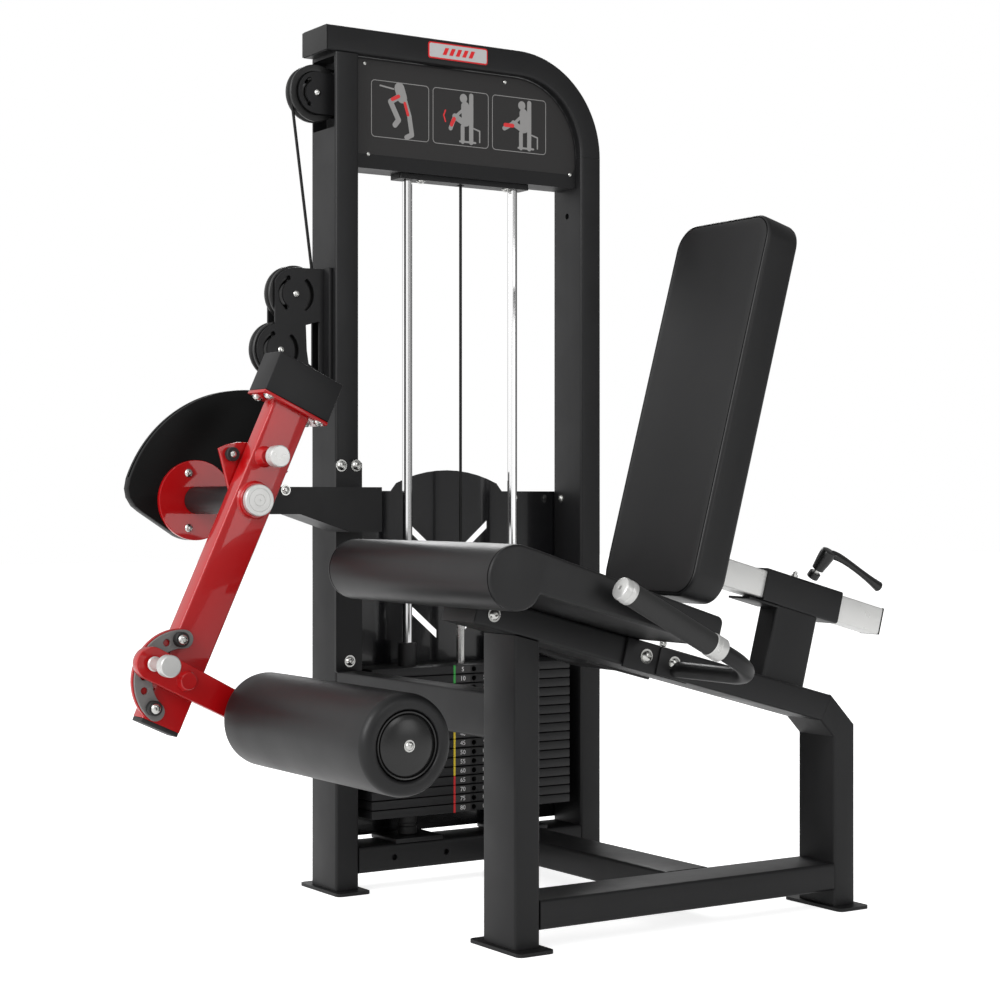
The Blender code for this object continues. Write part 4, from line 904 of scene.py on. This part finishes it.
grip_rubber = finish("soft black grip rubber", "#1c1c1c", 0.58, peel_mm=1.2, peel_depth_mm=0.08)
BAR_BEND = 0.085
grip_head, grip_foot, bend_corner = Vector((0.036, 0, 0.605)), Vector((0.214, 0, 0.511)), Vector((0.320, 0,
                                                                                                  0.455))
along = (grip_foot - grip_head).normalized()
length = (grip_foot - grip_head).length
for name, side in (("near", -1), ("far", 1)):
    y = Vector((0, SEAT_Y + side * 0.298, 0))
    across = Vector((0, -side, 0))
    centre = bend_corner + y - along * BAR_BEND + across * BAR_BEND
    points = [grip_foot + y + along * 0.0003]
    for i in range(17):
        a = math.radians(90 * i / 16)
        points.append(centre - across * BAR_BEND * math.cos(a) + along * BAR_BEND * math.sin(a))
    points.append(Vector((0.320, SEAT_Y + side * 0.0530, 0.455)))
    bar = swept(points, 0.014, tower)
    inner, outer = sorted((side * 0.0503, side * 0.0563)), sorted((side * 0.0563, side * 0.0600))
    lug = block((0.230, inner[0], -0.053), (0.372, inner[1], -0.002), rail, 0.0015)
    doubler = block((0.2995, outer[0], -0.051), (0.370, outer[1], -0.004), rail, 0.0012)
    settle(merged([bar, lug, doubler]), f"seat_handle_{name}", "frame", powder_black,
           [f"handle_{name}"])
    at = facing(tower @ Matrix.Translation(y), grip_head, -along)
    grip = turned([(0.0141, -length), (0.0185, -length), (0.0190, -length + 0.003),
                   (0.0190, -length + 0.012), (0.0190, -0.012), (0.0190, -0.002), (0.0184, 0.0),
                   (0.0141, 0.0), (0.0141, -length)], at, 48)
    settle(grip, f"hand_grip_{name}", "frame", grip_rubber, [f"grip_{name}"])
    end_cap = turned([(0, 0.0070), (0.0036, 0.0070), (0.0036, 0.0130), (0.0044, 0.0140), (0.0150, 0.0140),
                      (0.0178, 0.0125), (0.0190, 0.0095), (0.0192, 0.0020), (0.0186, 0.0012),
                      (0.0192, 0.0003), (0.0198, -0.0010), (0.0198, -0.0085), (0.0192, -0.0100),
                      (0.0186, -0.0104), (0.0150, -0.0104), (0, -0.0104)], at, 48)
    settle(end_cap, f"grip_end_cap_{name}", "frame", satin_cap)
    collar = turned([(0.0141, 0.0130), (0.0192, 0.0130), (0.0203, 0.0118), (0.0205, 0.0040),
                     (0.0198, 0.0030), (0.0205, 0.0020), (0.0205, -0.0105), (0.0196, -0.0122),
                     (0.0141, -0.0122), (0.0141, 0.0130)], facing(tower @ Matrix.Translation(y), grip_foot,
                                                                  -along), 48)
    settle(collar, f"grip_collar_{name}", "frame", satin_cap)
    plate_face = SEAT_Y + side * 0.0565
    screws(f"handle_bolts_{name}", "frame", tower, [(0.258, plate_face, 0.480),
                                                    (0.3155, plate_face + side * 0.0035, 0.465)],
           axis=(0, side, 0), head=0.0095)
    screws(f"handle_small_bolt_{name}", "frame", tower, [(0.2985, SEAT_Y + side * 0.0505, 0.4995)],
           axis=(0, side, 0), head=0.0055)


# ---------------------------------------------------------------- pulleys
# Moulded nylon cable pulleys, 108 mm across, with a round-bottomed groove, a stepped web and arc
# slots through it. Each turns on a bolt between two cheek plates.

nylon = finish("black nylon pulley", "#151515", 0.36, peel_mm=2.0, peel_depth_mm=0.03)
pulleys = {"top_pulley": (-0.0222, 1.521), "upper_guide_pulley": (-0.0674, 1.1361),
           "lower_guide_pulley": (-0.0998, 1.0296), "stack_pulley": (0.261, 1.521)}
for name, (x, z) in pulleys.items():
    groove = [(0.0540, 0.0105), (0.0540, 0.0062), (0.0528, 0.0052), (0.0470, 0.0036), (0.0452, 0.0028),
              (0.0445, 0.0), (0.0452, -0.0028), (0.0470, -0.0036), (0.0528, -0.0052), (0.0540, -0.0062),
              (0.0540, -0.0105)]
    profile = [(0.0063, 0.0115), (0.0150, 0.0115), (0.0158, 0.0108), (0.0160, 0.0085), (0.0175, 0.0072),
               (0.0400, 0.0072), (0.0412, 0.0085), (0.0418, 0.0112), (0.0428, 0.0115), (0.0532, 0.0113),
               *groove]
    profile += [(0.0532, -0.0113), (0.0428, -0.0115), (0.0418, -0.0112), (0.0412, -0.0085), (0.0400, -0.0072),
                (0.0175, -0.0072), (0.0160, -0.0085), (0.0158, -0.0108), (0.0150, -0.0115), (0.0063, -0.0115),
                (0.0063, 0.0115)]
    wheel = turned(profile, facing(tower, (x, STACK_Y, z)), 72)
    for first in (115, -65):
        slot = band(0.0285, 0.0075, first, first + 130)
        cut(wheel, outline_plate(slot, 0.03, 0.07, tower @ Matrix.Translation((x, 0, z)), (), 0.0))
    settle(wheel, f"{name}_wheel", name, nylon, [name])


# ---------------------------------------------------------------- pulley brackets
# Laser cut steel cheeks, black powder coated, welded to a mounting strip, with arc windows round
# each axle. A bright bolt head shows at each pulley's centre.


def cheek_pair(outline, windows, centres, spine_low, spine_high, name, replaced):
    """Two like plates each side of the pulleys, their strip, axles and bolt heads."""
    plates = [outline_plate(outline, near, near + 0.005, tower, windows, 0.0006) for near in (0.0325, 0.0625)]
    plates.append(block(spine_low, spine_high, tower, 0.001))
    for x, z in centres:
        plates.append(turned([(0, 0.0185), (0.0059, 0.0185), (0.0059, -0.0185), (0, -0.0185)],
                             facing(tower, (x, STACK_Y, z)), 24))
    settle(merged(plates), name, "frame", powder_black, [replaced])
    screws(f"{name}_bolts", "frame", tower, [(x, 0.0325, z) for x, z in centres], head=0.0065, washer=False)
    screws(f"{name}_nuts", "frame", tower, [(x, 0.0675, z) for x, z in centres], axis=(0, 1, 0), head=0.0065,
           washer=False)


upper, lower, top = pulleys["upper_guide_pulley"], pulleys["lower_guide_pulley"], pulleys["top_pulley"]
CHEEK_RADIUS = 0.050
neck = -0.112
upper_neck = math.degrees(math.acos((neck - upper[0]) / CHEEK_RADIUS))
lower_neck = math.degrees(math.acos((neck - lower[0]) / CHEEK_RADIUS))
guide_cheek = [(-0.004, upper[1] + CHEEK_RADIUS), *arc(upper, CHEEK_RADIUS, 90, upper_neck, 28),
               (neck, 1.1130), (neck, 1.0785), *arc(lower, CHEEK_RADIUS, lower_neck, 270, 36),
               (-0.004, 0.930)]
windows = [[(-0.047, 1.078), (-0.018, 1.086), (-0.018, 0.990), (-0.041, 1.005), (-0.045, 1.030)]]
for x, z in (upper, lower):
    for first, last in ((118, 232), (-52, 48)):
        windows.append([(x + a, z + b) for a, b in band(0.0335, 0.0085, first, last, 20)])
cheek_pair(guide_cheek, windows, [upper, lower], (-0.0080, 0.014, 0.925), (-0.0003, 0.086, 1.188),
           "guide_pulley_bracket", "mid_pulley_bracket")
top_cheek = arc(top, 0.040, 90, 270, 36) + [(0.0440, top[1] - 0.040), (0.0440, top[1] + 0.034)]
top_window = [(top[0] + a, top[1] + b) for a, b in band(0.0285, 0.0085, 125, 235, 20)]
cheek_pair(top_cheek, [top_window], [top], (0.0400, 0.0335, 1.483), (0.0467, 0.0665, 1.548),
           "top_pulley_cheeks", "top_pulley_bracket")


# ---------------------------------------------------------------- cable
# Steel cable in a black nylon sheath. It runs from the stack over two pulleys in the top, down the
# front, between the two guide pulleys and on to the cam's edge.

sheath = finish("black nylon cable sheath", "#0b0b0b", 0.40, shine=0.25)
CABLE_LINE = 0.048
CABLE_RADIUS = 0.0030
cam_anchor = (-0.0860, 0.9440)


def crossing(first, second, turn):
    """Where a cable that crosses between two equal pulleys leaves one and meets the other."""
    apart = Vector((second[0] - first[0], second[1] - first[1]))
    angle = math.degrees(math.atan2(apart.y, apart.x) + turn * math.acos(2 * CABLE_LINE / apart.length))
    return angle, angle + 180.0


top_leave, upper_meet = crossing(top, upper, -1)
upper_leave, lower_meet = crossing(upper, lower, 1)
route = arc(pulleys["stack_pulley"], CABLE_LINE, 0, 90, 24) + arc(top, CABLE_LINE, 90, top_leave % 360, 30)
route += arc(upper, CABLE_LINE, upper_meet % 360, upper_leave, 20) + arc(lower, CABLE_LINE, lower_meet, 330,
                                                                         36)
route.append(cam_anchor)
cable = swept([(x, STACK_Y, z) for x, z in route], CABLE_RADIUS, tower, 12)
settle(cable, "cable_over_pulleys", "frame", sheath, ["lift_cable"], angle=60.0)
hang = swept([(*STACK, 0.5303 + i * 0.09905) for i in range(11)], CABLE_RADIUS, tower, 12)
settle(hang, "cable_to_stack", "frame", sheath, ["stack_cable"], angle=60.0)
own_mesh(hang)


# ---------------------------------------------------------------- display panel
# The upper panel is a printed sheet held by four screws. Three outlined boxes show plain exercise
# pictograms in grey with the working muscles in red; the badge above has five plain bars only.

print_grey = finish("printed panel film", "#2b2a2a", 0.50, peel_mm=3.0, peel_depth_mm=0.02, shine=0.3)
print_line = finish("light grey screen print", "#8f8e8d", 0.5)
print_red = finish("red screen print", "#d02a2e", 0.5)
panel_face = 0.0180
film = [(0.0560, 1.4115), (0.5560, 1.4115), (0.5640, 1.4250), *arc((0.418, 1.447), 0.1455, 0, 90, 30),
        (0.0560, 1.5925)]
settle(outline_plate(film, panel_face - 0.0003, panel_face - 0.0001, tower, (), 0.0), "panel_print",
       "frame", print_grey)


prints = []


def printed(outline, layer=0.0):
    """A flat printed shape just proud of the panel, and a hair prouder than the one before."""
    prints.append(outline)
    near = panel_face - 0.00055 - layer - 0.000004 * (len(prints) % 40)
    return outline_plate(outline, near, near + 0.00015, tower, (), 0.0)


def shrunk(low, high, margin):
    """A rectangle's corners, moved inwards by margin."""
    return (low[0] + margin, low[1] + margin), (high[0] - margin, high[1] - margin)


def stroke(points, width, layer=0.0):
    """A printed line of even width with round joints through points."""
    parts = []
    for a, b in zip(points, points[1:]):
        run = Vector(b) - Vector(a)
        side = Vector((-run.y, run.x)).normalized() * width / 2
        parts.append(printed([tuple(Vector(a) - side), tuple(Vector(b) - side), tuple(Vector(b) + side),
                              tuple(Vector(a) + side)], layer))
    return parts + [printed(arc(p, width / 2, 0, 360, 14)[:-1], layer) for p in points]


boxes, greys, reds = [], [], []
for number, left in enumerate((0.0860, 0.2245, 0.3630)):
    low, high = (left, 1.4460), (left + 0.1300, 1.5560)
    outer, inner = rounded(low, high, 0.008), rounded(*shrunk(low, high, 0.0013), 0.0067)
    boxes.append(outline_plate(outer, panel_face - 0.00055, panel_face - 0.0004, tower, [inner], 0.0))
    x, z = (low[0] + high[0]) / 2, (low[1] + high[1]) / 2
    if number == 0:
        greys += stroke([(x - 0.002, z + 0.044), (x + 0.004, z + 0.026)], 0.022)
        greys += stroke([(x - 0.002, z + 0.028), (x - 0.022, z + 0.016), (x - 0.004, z - 0.018),
                         (x - 0.012, z - 0.028)], 0.011)
        greys += stroke([(x + 0.010, z + 0.022), (x + 0.020, z - 0.008), (x + 0.026, z - 0.044),
                         (x + 0.014, z - 0.050)], 0.010)
        greys += stroke([(x - 0.045, z + 0.045), (x - 0.015, z + 0.041)], 0.003)
        reds += stroke([(x - 0.004, z + 0.028), (x - 0.018, z + 0.021)], 0.007, 0.0002)
        reds += stroke([(x + 0.010, z + 0.016), (x + 0.017, z - 0.006)], 0.006, 0.0002)
    else:
        lift = 0.0 if number == 1 else 0.012
        greys += stroke([(x + 0.006, z + 0.040), (x + 0.006, z + 0.039)], 0.017)
        greys += stroke([(x + 0.010, z + 0.024), (x + 0.012, z - 0.006)], 0.019)
        greys += stroke([(x + 0.024, z + 0.046), (x + 0.024, z - 0.046)], 0.010)
        greys += stroke([(x + 0.010, z - 0.010), (x - 0.014, z + 0.002)], 0.012)
        greys += stroke([(x - 0.014, z + 0.002), (x - 0.024 - lift, z - 0.022 + lift)], 0.009)
        greys += stroke([(x + 0.004, z - 0.016), (x + 0.004, z - 0.046)], 0.009)
        greys += stroke([(x + 0.030, z - 0.018), (x + 0.044, z - 0.022), (x + 0.044, z - 0.044)], 0.003)
        greys += stroke([(x - 0.002, z - 0.046), (x + 0.034, z - 0.046)], 0.004)
        greys += stroke([(x + 0.006, z + 0.018), (x - 0.008, z + 0.006), (x - 0.004, z - 0.004)], 0.006)
        reds += stroke([(x - 0.016, z - 0.003), (x - 0.022 - lift, z - 0.015 + lift)], 0.008, 0.0002)
        if number == 1:
            reds += stroke([(x - 0.036, z + 0.012), (x - 0.040, z + 0.002), (x - 0.036, z - 0.010)], 0.003,
                           0.0002)
settle(merged(boxes), "pictogram_boxes", "frame", print_line)
settle(merged(greys), "pictogram_figures", "frame", print_line)
settle(merged(reds), "pictogram_accents", "frame", print_red)

badge_light = finish("light enamel badge", "#b9b9b9", 0.4)
badge_red = finish("red enamel badge border", "#d4161c", 0.3, coat=0.5)
badge_low, badge_high = (0.203, 1.6075), (0.340, 1.6397)
settle(outline_plate(rounded(badge_low, badge_high, 0.005), -0.0016, -0.0002, tower, (), 0.0003),
       "badge_border", "frame", badge_red)
settle(outline_plate(rounded(*shrunk(badge_low, badge_high, 0.0026), 0.0032), -0.0021, -0.0015, tower, (),
                     0.0002), "badge_field", "frame", badge_light)
bars = [outline_plate([(x, 1.6165), (x + 0.0085, 1.6165), (x + 0.0150, 1.6305), (x + 0.0065, 1.6305)],
                      -0.0024, -0.0020, tower, (), 0.0) for x in (0.2350, 0.2500, 0.2650, 0.2800, 0.2950)]
settle(merged(bars), "badge_bars", "frame", badge_red)
